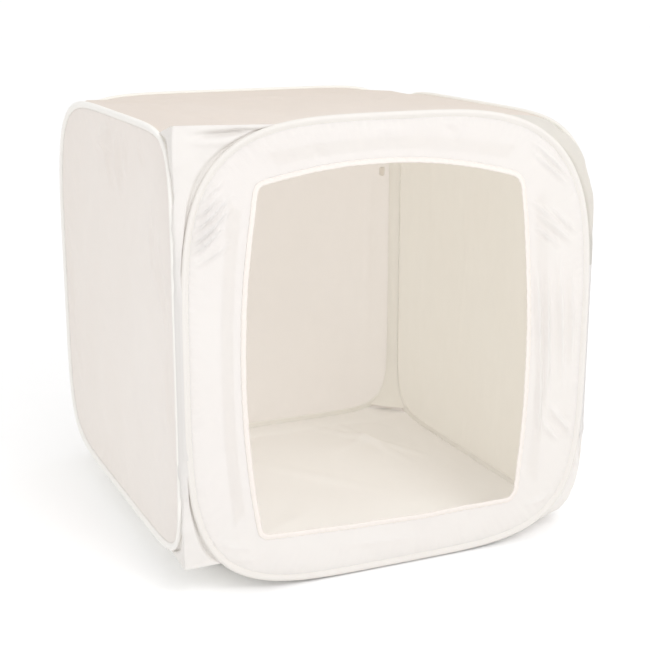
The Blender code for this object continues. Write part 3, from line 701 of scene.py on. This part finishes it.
BACK_CREASES = (
    (-0.250, 0.560, -0.248, 0.060, 0.009, -0.0020),
    (0.020, 0.560, 0.010, 0.080, 0.014, 0.0010),
    (-0.270, 0.540, -0.180, 0.450, 0.012, 0.0016),
    (0.170, 0.540, 0.265, 0.450, 0.012, 0.0016),
    (0.190, 0.050, 0.270, 0.140, 0.012, 0.0016),
)


def gathers(a, b, reach, size):
    """Small puckers that run in from the stitched edge of a panel and die away."""
    rim = np.maximum(np.abs(a), np.abs(b))
    inwards = (1 - rim) * reach
    turn = np.arctan2(b, a)
    near = smooth_step((inwards - SEAM_FLAT) / GATHER_START)
    fine = FINE_GATHER_SHARE * puckered(turn, FINE_GATHERS) * np.exp(-inwards / FINE_GATHER_REACH)
    long = LONG_GATHER_SHARE * puckered(turn, LONG_GATHERS) * np.exp(-inwards / LONG_GATHER_REACH)
    return size * near * (fine + long)


def build_panel(face, creases, material, seed, gather_size):
    count = int(2 * face.reach / CLOTH_STEP)
    marks = np.linspace(-1.0, 1.0, count)
    a, b = np.meshgrid(marks, marks[::-1])
    across, height = face.place(a, b, WALL_INSET)
    inside = smooth_step((1 - np.maximum(np.abs(a), np.abs(b))) * PANEL_FADE)
    uneven = rippled(across, height, PANEL_RIPPLES, seed) + creased(across, height, creases)
    out = PANEL_BELLY * dome((a + 1) / 2, (b + 1) / 2) + inside * uneven
    out = out + gathers(a, b, face.reach, gather_size)
    name = f"{face.name}_panel_cloth"
    panel = add_sheet(name, face.world(across, height, out), material)
    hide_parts(f"{face.name}_panel")
    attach(panel, face.name)


# Front border, its hem and the tapes behind it

BORDER_CREASES = (
    # Short parallel pulls on the left, from lower left to upper right
    (-0.290, 0.458, -0.240, 0.498, 0.0028, 0.0078),
    (-0.298, 0.464, -0.228, 0.522, 0.0030, 0.0092),
    (-0.302, 0.476, -0.226, 0.538, 0.0030, 0.0092),
    (-0.302, 0.490, -0.242, 0.538, 0.0030, 0.0084),
    (-0.298, 0.506, -0.238, 0.556, 0.0030, 0.0076),
    (-0.290, 0.524, -0.250, 0.558, 0.0030, 0.0062),
    (-0.282, 0.446, -0.230, 0.478, 0.0034, 0.0052),
    # Pulls in the top right corner, from upper left to lower right
    (0.184, 0.598, 0.262, 0.530, 0.0034, 0.0066),
    (0.190, 0.584, 0.274, 0.512, 0.0032, 0.0070),
    (0.196, 0.566, 0.258, 0.514, 0.0032, 0.0058),
    (0.216, 0.590, 0.272, 0.540, 0.0032, 0.0056),
    # Pulls half way down on the right
    (0.194, 0.502, 0.258, 0.448, 0.0032, 0.0064),
    (0.202, 0.486, 0.274, 0.428, 0.0034, 0.0070),
    (0.226, 0.490, 0.276, 0.444, 0.0030, 0.0052),
    (0.204, 0.464, 0.250, 0.428, 0.0030, 0.0050),
    # Long upright ripples on the right, fanning out downwards
    (0.210, 0.420, 0.222, 0.250, 0.0036, 0.0084),
    (0.230, 0.415, 0.236, 0.180, 0.0038, 0.0086),
    (0.246, 0.440, 0.262, 0.210, 0.0038, 0.0078),
    (0.268, 0.420, 0.276, 0.230, 0.0038, 0.0070),
    (0.222, 0.290, 0.225, 0.140, 0.0040, 0.0068),
    (0.234, 0.210, 0.290, 0.142, 0.0040, 0.0062),
    (0.226, 0.186, 0.262, 0.140, 0.0040, 0.0052),
    # Dimples along the top
    (-0.132, 0.596, -0.100, 0.564, 0.0070, -0.0026),
    (0.056, 0.608, 0.086, 0.586, 0.0070, -0.0026),
    (-0.040, 0.606, 0.010, 0.600, 0.0080, 0.0024),
    # Soft pulls at the two lower corners
    (-0.270, 0.080, -0.205, 0.062, 0.0060, 0.0032),
    (-0.262, 0.058, -0.196, 0.044, 0.0060, 0.0028),
    (0.200, 0.050, 0.262, 0.068, 0.0060, 0.0032),
    (-0.100, 0.046, 0.060, 0.036, 0.0070, 0.0024),
)


def opening_outline(count, grow=0.0):
    """The opening's closed outline from its top right, anticlockwise, with bowed edges."""
    corners = (
        np.array(OPENING_TOP_RIGHT) + (grow, grow),
        np.array(OPENING_TOP_LEFT) + (-grow, grow),
        np.array(OPENING_BOTTOM_LEFT) + (-grow, -grow),
        np.array(OPENING_BOTTOM_RIGHT) + (grow, -grow),
    )
    bows = (
        (0.0, OPENING_TOP_BOW),
        (-OPENING_LEFT_BOW, 0.0),
        (0.0, -OPENING_BOTTOM_BOW),
        (OPENING_RIGHT_BOW, 0.0),
    )
    share = np.linspace(0.0, 1.0, count, endpoint=False)[:, None]
    sides = []
    for k in range(4):
        start, end = corners[k], corners[(k + 1) % 4]
        sides.append(start + (end - start) * share + np.array(bows[k]) * 4 * share * (1 - share))
    outline = np.concatenate(sides)
    rounded = []
    for reach in OPENING_CORNER_REACHES:
        most = round(reach * count / (OPENING_TOP_RIGHT[0] - OPENING_TOP_LEFT[0]))
        shifts = [np.roll(outline, shift, axis=0) for shift in range(-most, most + 1)]
        rounded.append(np.mean(shifts, axis=0))
    return np.where(outline[:, :1] < 0, *rounded)


def border_out(across, height, behind=False):
    """How far the border's cloth stands out of the plane of the front hoop. What is sewn
    behind it keeps out of its ridges, but not of its dimples."""
    x = np.abs(across) / FRONT.reach
    z = np.abs(height - FRONT.middle) / FRONT.half_height
    share = FRONT.share_at(across, height - FRONT.middle)
    rim = np.clip((x**share + z**share) ** (1 / share), 0.0, 1.0)
    inwards = (1 - rim) * FRONT.reach
    inside = smooth_step(inwards / BORDER_RISE)
    turn = np.arctan2(height - FRONT.middle, across)
    near = smooth_step((inwards - SEAM_FLAT) / GATHER_START)
    fine = puckered(turn, BORDER_PUCKERS) * np.exp(-inwards / BORDER_PUCKER_REACH) * near
    out = BORDER_BELLY * inside + BORDER_PUCKER_HEIGHT * fine
    out = out + inside * rippled(across, height, BORDER_RIPPLES)
    creases = creased(across, height, BORDER_CREASES)
    return out + inside * (np.minimum(creases, 0.0) if behind else creases)


def rim_marks(count):
    """The edge of the square, -1 to 1 each way, in the order of the opening's outline."""
    share = np.linspace(-1.0, 1.0, count, endpoint=False)
    ones = np.ones(count)
    return (
        np.concatenate([-share, -ones, share, ones]),
        np.concatenate([ones, -share, -ones, share]),
    )


def build_front_border():
    along = int(2 * FRONT.reach / BORDER_STEP)
    a, b = rim_marks(along)
    outer = np.stack(FRONT.place(a, b, WALL_INSET), axis=1)
    inner = opening_outline(along, HEM_WIDTH * 0.5)
    share = np.linspace(0.0, 1.0, int(BORDER_DEPTH / BORDER_STEP))[:, None, None]
    flat = outer + (inner - outer) * share
    across, height = flat[..., 0], flat[..., 1]
    points = FRONT.world(across, height, border_out(across, height))
    border = add_sheet("front_border_cloth", points, "cloth", closed=True)
    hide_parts("front_border")
    area = area_of(FRONT.world(across, height), closed=True)
    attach(border, "front")


def build_opening_hem():
    """The border's edge folded back on itself and sewn: a soft flat roll."""
    outline = opening_outline(HEM_STEPS)
    ways = outward_ways(outline)
    turn = np.linspace(0.0, math.tau, len(outline), endpoint=False)
    pucker = HEM_RIPPLE * puckered(turn, HEM_PUCKERS)
    section = [(HEM_WIDTH * x, HEM_HALF_THICKNESS * y) for x, y in HEM_SECTION_SHARES]
    section += [(reach, -off) for reach, off in section[-2::-1]]
    rows = []
    for reach, off in section:
        place = outline + ways * (reach + pucker)[:, None]
        lift = np.sign(off) * pucker * (reach > 0)
        rows.append(FRONT.world(*place.T, border_out(*place.T) + off + lift))
    hem = add_sheet("opening_hem_fold", np.array(rows), "hem", closed=True)
    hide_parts("opening_hem")
    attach(hem, "front")
    path = outline + ways * HEM_STITCH_REACH
    for side, sign in (("outer", 1), ("inner", -1)):
        off = border_out(*path.T) + sign * HEM_STITCH_SHARE * HEM_HALF_THICKNESS
        name = f"opening_hem_{side}_stitches"
        stitches = add_stitches(name, FRONT.world(*path.T, off), FRONT.out_way * sign)
        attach(stitches, "front")


def build_cover_tapes():
    """Hook tape sewn behind the border on three sides of the opening."""
    count = HOOK_TAPE_STEPS
    spare = int(count * (1 - HOOK_TAPE_LENGTH_SHARE) / 2)
    for name, side in (("top", 0), ("left", 1), ("right", 3)):
        rows = []
        for share, sink in HOOK_TAPE_SHARES:
            grow = HEM_WIDTH + HOOK_TAPE_EDGE + HOOK_TAPE_WIDTH * share
            path = opening_outline(count, grow)[side * count + spare : (side + 1) * count - spare]
            off = border_out(*path.T, behind=True) - HOOK_TAPE_RISE * sink
            rows.append(FRONT.world(*path.T, off))
        tape = add_sheet(f"cover_tape_{name}_strip", np.array(rows)[::-1], "hook_tape")
        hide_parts(f"cover_tape_{name}")
        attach(tape, "front")


def build_backdrop_tabs():
    """Hook tape tabs sewn inside the back wall, with rounded corners."""
    for side, sign in (("left", 1), ("right", -1)):
        low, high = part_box(f"backdrop_tab_{side}")
        middle = (low + high) / 2
        width, height = (high.x - low.x) / 2, (high.z - low.z) / 2
        marks = np.linspace(-1.0, 1.0, TAB_POINTS)
        a, b = np.meshgrid(marks, marks)
        pull = corner_pull(a, b, TAB_CORNER_SHARE)
        rise = smooth_step((1 - np.maximum(np.abs(a), np.abs(b))) * TAB_FADE) * TAB_THICKNESS
        points = np.stack(
            [middle.x + a * pull * width, high.y - rise, middle.z + b * pull * height], axis=-1
        )
        tab = add_sheet(f"backdrop_tab_{side}_pad", points, "hook_tape")
        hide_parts(f"backdrop_tab_{side}")
        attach(tab, "back")


# Corners

class Corner:
    """One upright edge of the tent, where the right edge of one face meets the left edge
    of the next, with the tips of cloth at its top and bottom."""

    def __init__(self, name, right_of, left_of, tip_shares, tip_heights):
        self.name = name
        self.right_of = right_of
        self.left_of = left_of
        self.tip_shares = tip_shares
        self.tip_heights = tip_heights
        self.box_corner = right_of.world(right_of.distance, 0.0)

    def tip_share(self, rise):
        return self.tip_shares[0 if rise > 0 else 1]

    def tip_height(self, rise):
        return self.tip_heights[0 if rise > 0 else 1]

    def end_height(self, face, rise):
        """Where the corner's cloth leaves a hoop."""
        if rise > 0:
            return face.top - GUSSET_END_DROP
        own = face.bottom + GUSSET_END_DROP
        return own + (max(self.tip_height(rise), own) - own) * self.tip_share(rise)

    def sewn_arc(self, face, side, rise, rows):
        """Centres of the hoop along the cloth's seam, from the upright part to its end."""
        arc = face.arc(side, rise)
        start = GUSSET_TOP_START if rise > 0 else GUSSET_BOTTOM_START
        end = self.end_height(face, rise)
        share = np.clip((arc[:, 1] - start) / (end - start), -1.0, 2.0)
        kept = arc[(share > 0) & (share < 1)]
        first = [np.interp(0.0, share, arc[:, 0]), start]
        last = [np.interp(1.0, share, arc[:, 0]), end]
        return resampled(np.concatenate([[first], kept, [last]]), rows - 1)

    def ridge(self, rise, before, after):
        """The line where the cloth turns from one face to the next."""
        rows = len(before)
        share = np.linspace(0.0, 1.0, rows)[:, None]
        chord = (before + after) / 2
        full = np.concatenate([np.broadcast_to(self.box_corner[:2], (rows, 2)), chord[:, 2:]], axis=1)
        full[:, 2:] += (self.tip_height(rise) - full[:, 2:]) * share
        held = self.tip_share(rise)
        return chord + (full - chord) * (1 - (1 - held) * (1 - (1 - share) ** 2))

    def cloth(self, rise):
        """The cloth between the two hoops: each row runs from hoop to hoop."""
        fade = smooth_step(np.linspace(0.0, SEAM_RISE_FADE, GUSSET_ROWS))
        out = SEAM_RISE * (1 - fade) - SEAM_SINK
        before = self.right_of.world(*self.sewn_arc(self.right_of, 1, rise, GUSSET_ROWS).T, out)
        after = self.left_of.world(*self.sewn_arc(self.left_of, -1, rise, GUSSET_ROWS).T, out)
        return cloth_rows(before, self.ridge(rise, before, after), after)

    def bindings(self, layer):
        """The names of one layer of the two bindings that the cloth is sewn to."""
        return [f"{face.name}_binding_{layer}" for face in (self.right_of, self.left_of)]


def cloth_rows(before, ridge, after):
    """Rows from hoop to hoop over a ridge that is slightly rounded."""
    share = np.linspace(0.0, 1.0, GUSSET_COLUMNS)
    share = 0.5 * share + 0.5 * smooth_step(share)
    first = before[:, None] + (ridge - before)[:, None] * share[:, None]
    second = ridge[:, None] + (after - ridge)[:, None] * (1 - share[::-1])[:, None]
    rows = np.concatenate([first, second[:, 1:]], axis=1)
    distance = np.linalg.norm(rows - ridge[:, None], axis=-1, keepdims=True)
    chord = (before + after)[:, None] / 2
    soft = np.maximum(RIDGE_ROUNDING - distance, 0.0) ** 2 / (4 * RIDGE_ROUNDING)
    inward = chord - ridge[:, None]
    inward /= np.maximum(np.linalg.norm(inward, axis=-1, keepdims=True), TINY)
    return rows + inward * soft


CORNERS = (
    Corner("front_right", FRONT, RIGHT, FRONT_RIGHT_TIP_SHARES, FRONT_RIGHT_TIP_HEIGHTS),
    Corner("back_right", RIGHT, BACK, BACK_RIGHT_TIP_SHARES, BACK_RIGHT_TIP_HEIGHTS),
    Corner("back_left", BACK, LEFT, BACK_LEFT_TIP_SHARES, BACK_LEFT_TIP_HEIGHTS),
    Corner("front_left", LEFT, FRONT, FRONT_LEFT_TIP_SHARES, FRONT_LEFT_TIP_HEIGHTS),
)
# Corners whose cloth is left in place: the two bodies that it joins, and the level way from
# the first one's face to the second's. The front right corner is where the ring of faces is
# open, and its cloth rides on the right.
CORNER_FOLDS = {
    "back_right": ("back", "right", (1, -1)),
    "back_left": ("back", "left", (-1, -1)),
    "front_left": ("left", "front", (1, -1)),
}


def follow_corner(piece, corner):
    """Hangs the front right corner's cloth on the right body, and leaves the others' cloth in place.
    """
    if corner.name not in CORNER_FOLDS:
        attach(piece, "right")
        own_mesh(piece)
        return
    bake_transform(piece)


# Cloth of each corner's top and bottom gusset. The front right top one carries painted
# shade, the front left ones painted light, and the back ones painted shade inside the tent.
GUSSET_MATERIALS = {
    "front_right": ("corner_cloth_painted_shade", "cloth"),
    "back_right": ("back_cloth", "back_cloth"),
    "back_left": ("back_cloth", "back_cloth"),
    "front_left": ("front_left_cloth_painted_light", "front_left_cloth_painted_light"),
}
GUSSET_CREASES = {
    "front_left_top_gusset": (
        (-0.045, 0.608, 0.075, 0.611, 0.0032, -0.0095),
        (-0.050, 0.600, 0.040, 0.598, 0.0050, 0.0040),
    ),
}


def seam_valley(rows):
    """How far the corner cloth dips beside the bindings that it is sewn to."""
    steps = np.linalg.norm(np.diff(rows, axis=1), axis=-1)
    marks = np.concatenate([np.zeros((len(rows), 1)), np.cumsum(steps, axis=1)], axis=1)
    length = marks[:, -1:]
    near = np.minimum(marks, length - marks)
    wide = smooth_step((length - VALLEY_START) / (VALLEY_FULL - VALLEY_START))
    depth = wide * np.minimum(VALLEY_DEPTH, VALLEY_SHARE * length)
    return depth * np.exp(-(((near - VALLEY_PLACE) / VALLEY_WIDTH) ** 2))


def turned_outwards(rows):
    """The same grid, its columns reversed if that is what makes its faces look outwards."""
    away = rows - np.array([0.0, 0.0, FRONT.middle])
    return rows[:, ::-1] if (surface_normals(rows) * away).sum() > 0 else rows


def build_gusset(corner, rise):
    place = "top" if rise > 0 else "bottom"
    name = f"{corner.name}_{place}_gusset"
    rows = turned_outwards(corner.cloth(rise))
    u = np.linspace(0.0, 1.0, rows.shape[1])[None, :]
    v = np.linspace(0.0, 1.0, rows.shape[0])[:, None]
    below_tip = smooth_step((1 - v) * GUSSET_TIP_FADE)
    edge = smooth_step(np.minimum(u, 1 - u) * GUSSET_EDGE_FADE)
    inside = edge * smooth_step(v * GUSSET_EDGE_FADE) * below_tip
    level, height = rows[..., 0] - rows[..., 1] * GUSSET_LEAN_SHARE, rows[..., 2]
    slack = rippled(level, height, GUSSET_RIPPLES)
    slack = inside * (slack + creased(level, height, GUSSET_CREASES.get(name, ())))
    valley = seam_valley(rows) * below_tip
    points = rows - surface_normals(rows) * (slack - valley)[..., None]
    material = GUSSET_MATERIALS[corner.name][0 if rise > 0 else 1]
    gusset = add_sheet(f"{name}_cloth", points, material)
    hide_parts(name)
    corner.bindings("tape")
    follow_corner(gusset, corner)


def build_corner_strip(corner):
    """The sewn strip between two upright hoop sides, between the two gussets."""
    heights = np.linspace(GUSSET_TOP_START, GUSSET_BOTTOM_START, STRIP_ROWS)
    before = corner.right_of.world(corner.right_of.reach, heights, SEAM_RISE - SEAM_SINK)
    after = corner.left_of.world(-corner.left_of.reach, heights, SEAM_RISE - SEAM_SINK)
    ridge = np.stack([*np.broadcast_arrays(*corner.box_corner[:2], heights)], axis=1)
    rows = cloth_rows(before, ridge, after)
    # The front left corner's strip carries painted light.
    material = "front_left_cloth_painted_light" if corner.name == "front_left" else "cloth"
    strip = add_sheet(f"{corner.name}_seam_strip", rows, material)
    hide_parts(f"{corner.name}_seam")
    follow_corner(strip, corner)


def build_inner_corner(corner):
    """Inside, the cloth runs on over the seam from wall to wall in a small soft curve."""
    at_back = BACK in (corner.right_of, corner.left_of)
    foot_spread, head_spread = BACK_CORNER_SPREADS if at_back else FRONT_CORNER_SPREADS
    arcs = []
    low, high = 0.0, FRONT.top
    for face, side in ((corner.right_of, 1), (corner.left_of, -1)):
        lower, upper = face.arc(side, -1)[::-1], face.arc(side, 1)
        low = max(low, lower[np.abs(lower[:, 0]) > face.reach - foot_spread, 1].min())
        high = min(high, upper[np.abs(upper[:, 0]) > face.reach - head_spread, 1].max())
        arcs.append((face, side, np.concatenate([lower, upper[1:]])))
    heights = np.linspace(low, high, INNER_CORNER_ROWS)
    ends, depths = [], []
    for face, side, arc in arcs:
        hoop = np.interp(heights, arc[:, 1], arc[:, 0])
        ends.append(face.world(hoop - side * INNER_CORNER_INSET, heights, -INNER_CORNER_OFF))
        depths.append(INNER_CORNER_DEPTH + INNER_CORNER_SHIFT * (face.reach - np.abs(hoop)))
    bend = corner.right_of.world(corner.right_of.distance - depths[0], heights, -depths[1])
    share = np.linspace(0.0, 1.0, GUSSET_COLUMNS)[None, :, None]
    rows = ends[0][:, None] * (1 - share) ** 2 + 2 * bend[:, None] * share * (1 - share)
    rows = rows + ends[1][:, None] * share**2
    cover = add_sheet(f"{corner.name}_inner_corner", rows, "inner_corner")
    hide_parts(f"{corner.name}_seam")
    corner.bindings("lining")
    follow_corner(cover, corner)


# Top and floor

def cloth_edges(rise):
    """The top or floor cloth's edge along each face, corner to corner, in face order."""
    edges = []
    for index, face in enumerate(FACES):
        halves = []
        for side, corner in ((-1, CORNERS[index - 1]), (1, CORNERS[index])):
            arcs = (
                corner.sewn_arc(corner.right_of, 1, rise, EDGE_ARC_ROWS),
                corner.sewn_arc(corner.left_of, -1, rise, EDGE_ARC_ROWS),
            )
            before = corner.right_of.world(*arcs[0].T)
            after = corner.left_of.world(*arcs[1].T)
            tip = corner.ridge(rise, before, after)[-1:]
            arc = face.arc(side, rise)
            crown = arc[(arc[:, 1] - corner.end_height(face, rise)) * rise > 0]
            crown = np.concatenate([arcs[0 if side > 0 else 1][-1:], crown])
            halves.append(np.concatenate([tip, face.world(*crown.T, -LEVEL_INSET)]))
        edges.append(np.concatenate([halves[0], halves[1][::-1][1:]]))
    return edges


def resampled_edge(edge, count):
    """count + 1 points along an edge, with one where each corner's cloth leaves the hoop."""
    crown = resampled(edge[1:-1], count - 2 * TIP_STEPS)
    first, last = resampled(edge[:2], TIP_STEPS), resampled(edge[-2:], TIP_STEPS)
    return np.concatenate([first[:-1], crown, last[1:]])


def patch(edges, count):
    """Fills the four joined edges of the front, right, back and left with a grid. Rows run
    from the back to the front, and columns from the left to the right."""
    front, right, back, left = (resampled_edge(edge, count) for edge in edges)
    back, right = back[::-1], right[::-1]
    v = np.linspace(0.0, 1.0, count + 1)[:, None, None]
    u = np.linspace(0.0, 1.0, count + 1)[None, :, None]
    sides = left[:, None] * (1 - u) + right[:, None] * u
    ends = back[None] * (1 - v) + front[None] * v
    corners = (back[0] * (1 - u) + back[-1] * u) * (1 - v) + (front[0] * (1 - u) + front[-1] * u) * v
    return sides + ends - corners, u[..., 0], v[..., 0]


TOP_CREASES = (
    (-0.270, 0.250, -0.150, 0.080, 0.014, -0.0030),
    (0.250, 0.250, 0.120, 0.060, 0.014, -0.0030),
    (-0.250, -0.255, -0.090, -0.120, 0.014, -0.0028),
    (0.240, -0.240, 0.100, -0.090, 0.014, -0.0028),
    (-0.200, 0.020, 0.220, -0.030, 0.030, 0.0022),
    (-0.020, 0.270, 0.030, 0.120, 0.016, 0.0022),
)
FLOOR_CREASES = (
    (0.110, 0.285, 0.250, 0.040, 0.010, 0.0048),
    (0.165, 0.280, 0.205, 0.020, 0.009, 0.0042),
    (0.230, 0.200, 0.090, 0.120, 0.012, 0.0035),
    (-0.050, 0.150, 0.120, -0.080, 0.016, 0.0026),
    (-0.200, 0.220, -0.060, 0.060, 0.014, 0.0029),
    (-0.180, -0.180, 0.000, -0.060, 0.016, 0.0022),
)


def add_halves(name, points, nodes, material):
    """A level sheet as a rear and a front half, hung on the back and the front body. They
    meet in one smooth cloth."""
    middle = points.shape[0] // 2
    halves = (
        ("rear", points[: middle + 1], "back", BACK.distance),
        ("front", points[middle:], "front", -FRONT.distance),
    )
    for half, part, body, hoop_y in halves:
        piece = add_sheet(f"{name}_{half}_half", part, material)
        for node in nodes:
            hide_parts(node)
        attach(piece, body)
        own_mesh(piece)


def build_top():
    count = int(2 * FRONT.distance / CLOTH_STEP)
    points, u, v = patch(cloth_edges(1), count + count % 2)
    x, y = points[..., 0], points[..., 1]
    inside = smooth_step(np.minimum(np.minimum(u, 1 - u), np.minimum(v, 1 - v)) * TOP_FADE)
    uneven = creased(x, y, TOP_CREASES) + rippled(x, y, TOP_RIPPLES)
    points[..., 2] -= dome(u, v) ** 0.5 * TOP_SAG - inside * uneven
    add_halves("top_sheet", points, ["top_panel"], "top_cloth")


def past_floor_outline(x, y):
    """How far a place lies outside the flat floor, whose outline is a rounded square."""
    radius = np.where((x < 0) & (y < 0), FLOOR_FRONT_LEFT_RADIUS, FLOOR_CORNER_RADIUS)
    past_x = np.abs(x) - FLOOR_HALF_WIDTH + radius
    past_y = np.abs(y) - FLOOR_HALF_WIDTH + radius
    round_part = np.hypot(np.maximum(past_x, 0.0), np.maximum(past_y, 0.0))
    return round_part + np.minimum(np.maximum(past_x, past_y), 0.0) - radius


def build_floor():
    count = int(2 * FRONT.distance / CLOTH_STEP)
    points, u, v = patch(cloth_edges(-1), count + count % 2)
    x, y = points[..., 0], points[..., 1]
    near = np.minimum(np.minimum(u, 1 - u), np.minimum(v, 1 - v)) * 2 * FRONT.distance
    beyond = np.maximum(past_floor_outline(x, y), 0.0)
    climb = beyond / (beyond + near + TINY)
    slack = FLOOR_SLACK + rippled(x, y, FLOOR_RIPPLES) + creased(x, y, FLOOR_CREASES)
    points[..., 2] = points[..., 2] * climb + (1 - climb) * (FLOOR_LIFT + np.maximum(slack, 0.0))
    points[..., 2] = np.maximum(points[..., 2], FLOOR_LIFT)
    add_halves("floor_sheet", points, ["floor_panel", "floor_margin"], "floor_cloth_painted_light")


# Studio

def build_studio():
    bpy.ops.mesh.primitive_plane_add(size=FLOOR_SIZE)
    ground = bpy.context.object
    ground.name = "studio_floor"
    material, tree = new_material("matt_white_paper")
    inputs = {"Base Color": linear("fefefe"), "Roughness": 0.9, "Specular IOR Level": 0.1}
    ground.data.materials.append(finished(material, add_node(tree, "BsdfPrincipled", inputs)))

    world = bpy.data.worlds.new("studio_walls")
    world.use_nodes = True
    background = world.node_tree.nodes["Background"]
    background.inputs["Color"].default_value = linear("ffffff")
    background.inputs["Strength"].default_value = WALL_STRENGTH
    bpy.context.scene.world = world


def build_softbox():
    light = bpy.data.lights.new("key_softbox", "AREA")
    light.shape = "DISK"
    light.size = SOFTBOX_SIZE
    light.energy = SOFTBOX_POWER
    light.color = linear("fdfcff")[:3]
    lamp = bpy.data.objects.new("key_softbox", light)
    lamp.location = SOFTBOX_PLACE
    x, y, z = np.subtract(SOFTBOX_PLACE, SOFTBOX_TARGET)
    lamp.rotation_euler = (math.atan2(math.hypot(x, y), z), 0.0, math.atan2(x, -y))
    bpy.context.scene.collection.objects.link(lamp)


def build_camera():
    data = bpy.data.cameras.new("camera")
    data.lens = CAMERA_LENS
    camera = bpy.data.objects.new("camera", data)
    camera.location = CAMERA_PLACE
    pitch = math.pi / 2 + math.radians(CAMERA_PITCH)
    camera.rotation_euler = (pitch, 0.0, -math.radians(CAMERA_YAW))
    bpy.context.scene.collection.objects.link(camera)
    bpy.context.scene.camera = camera
    bpy.context.scene.view_settings.view_transform = "Standard"


for each_face in FACES:
    build_binding(each_face)
    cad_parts[f"{each_face.name}_hoop_wire"].data.materials[0] = MATERIALS["steel"]
    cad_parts[f"{each_face.name}_ferrule"].data.materials[0] = MATERIALS["ferrule"]
build_front_border()
build_opening_hem()
build_cover_tapes()
build_panel(LEFT, LEFT_CREASES, "left_cloth", seed=0.3, gather_size=0.0012)
build_panel(RIGHT, RIGHT_CREASES, "right_cloth", seed=1.9, gather_size=0.0005)
build_panel(BACK, BACK_CREASES, "back_cloth", seed=3.4, gather_size=0.0005)
build_backdrop_tabs()
for each_corner in CORNERS:
    build_gusset(each_corner, 1)
    build_gusset(each_corner, -1)
    build_corner_strip(each_corner)
    build_inner_corner(each_corner)
build_top()
build_floor()
build_studio()
build_softbox()
build_camera()
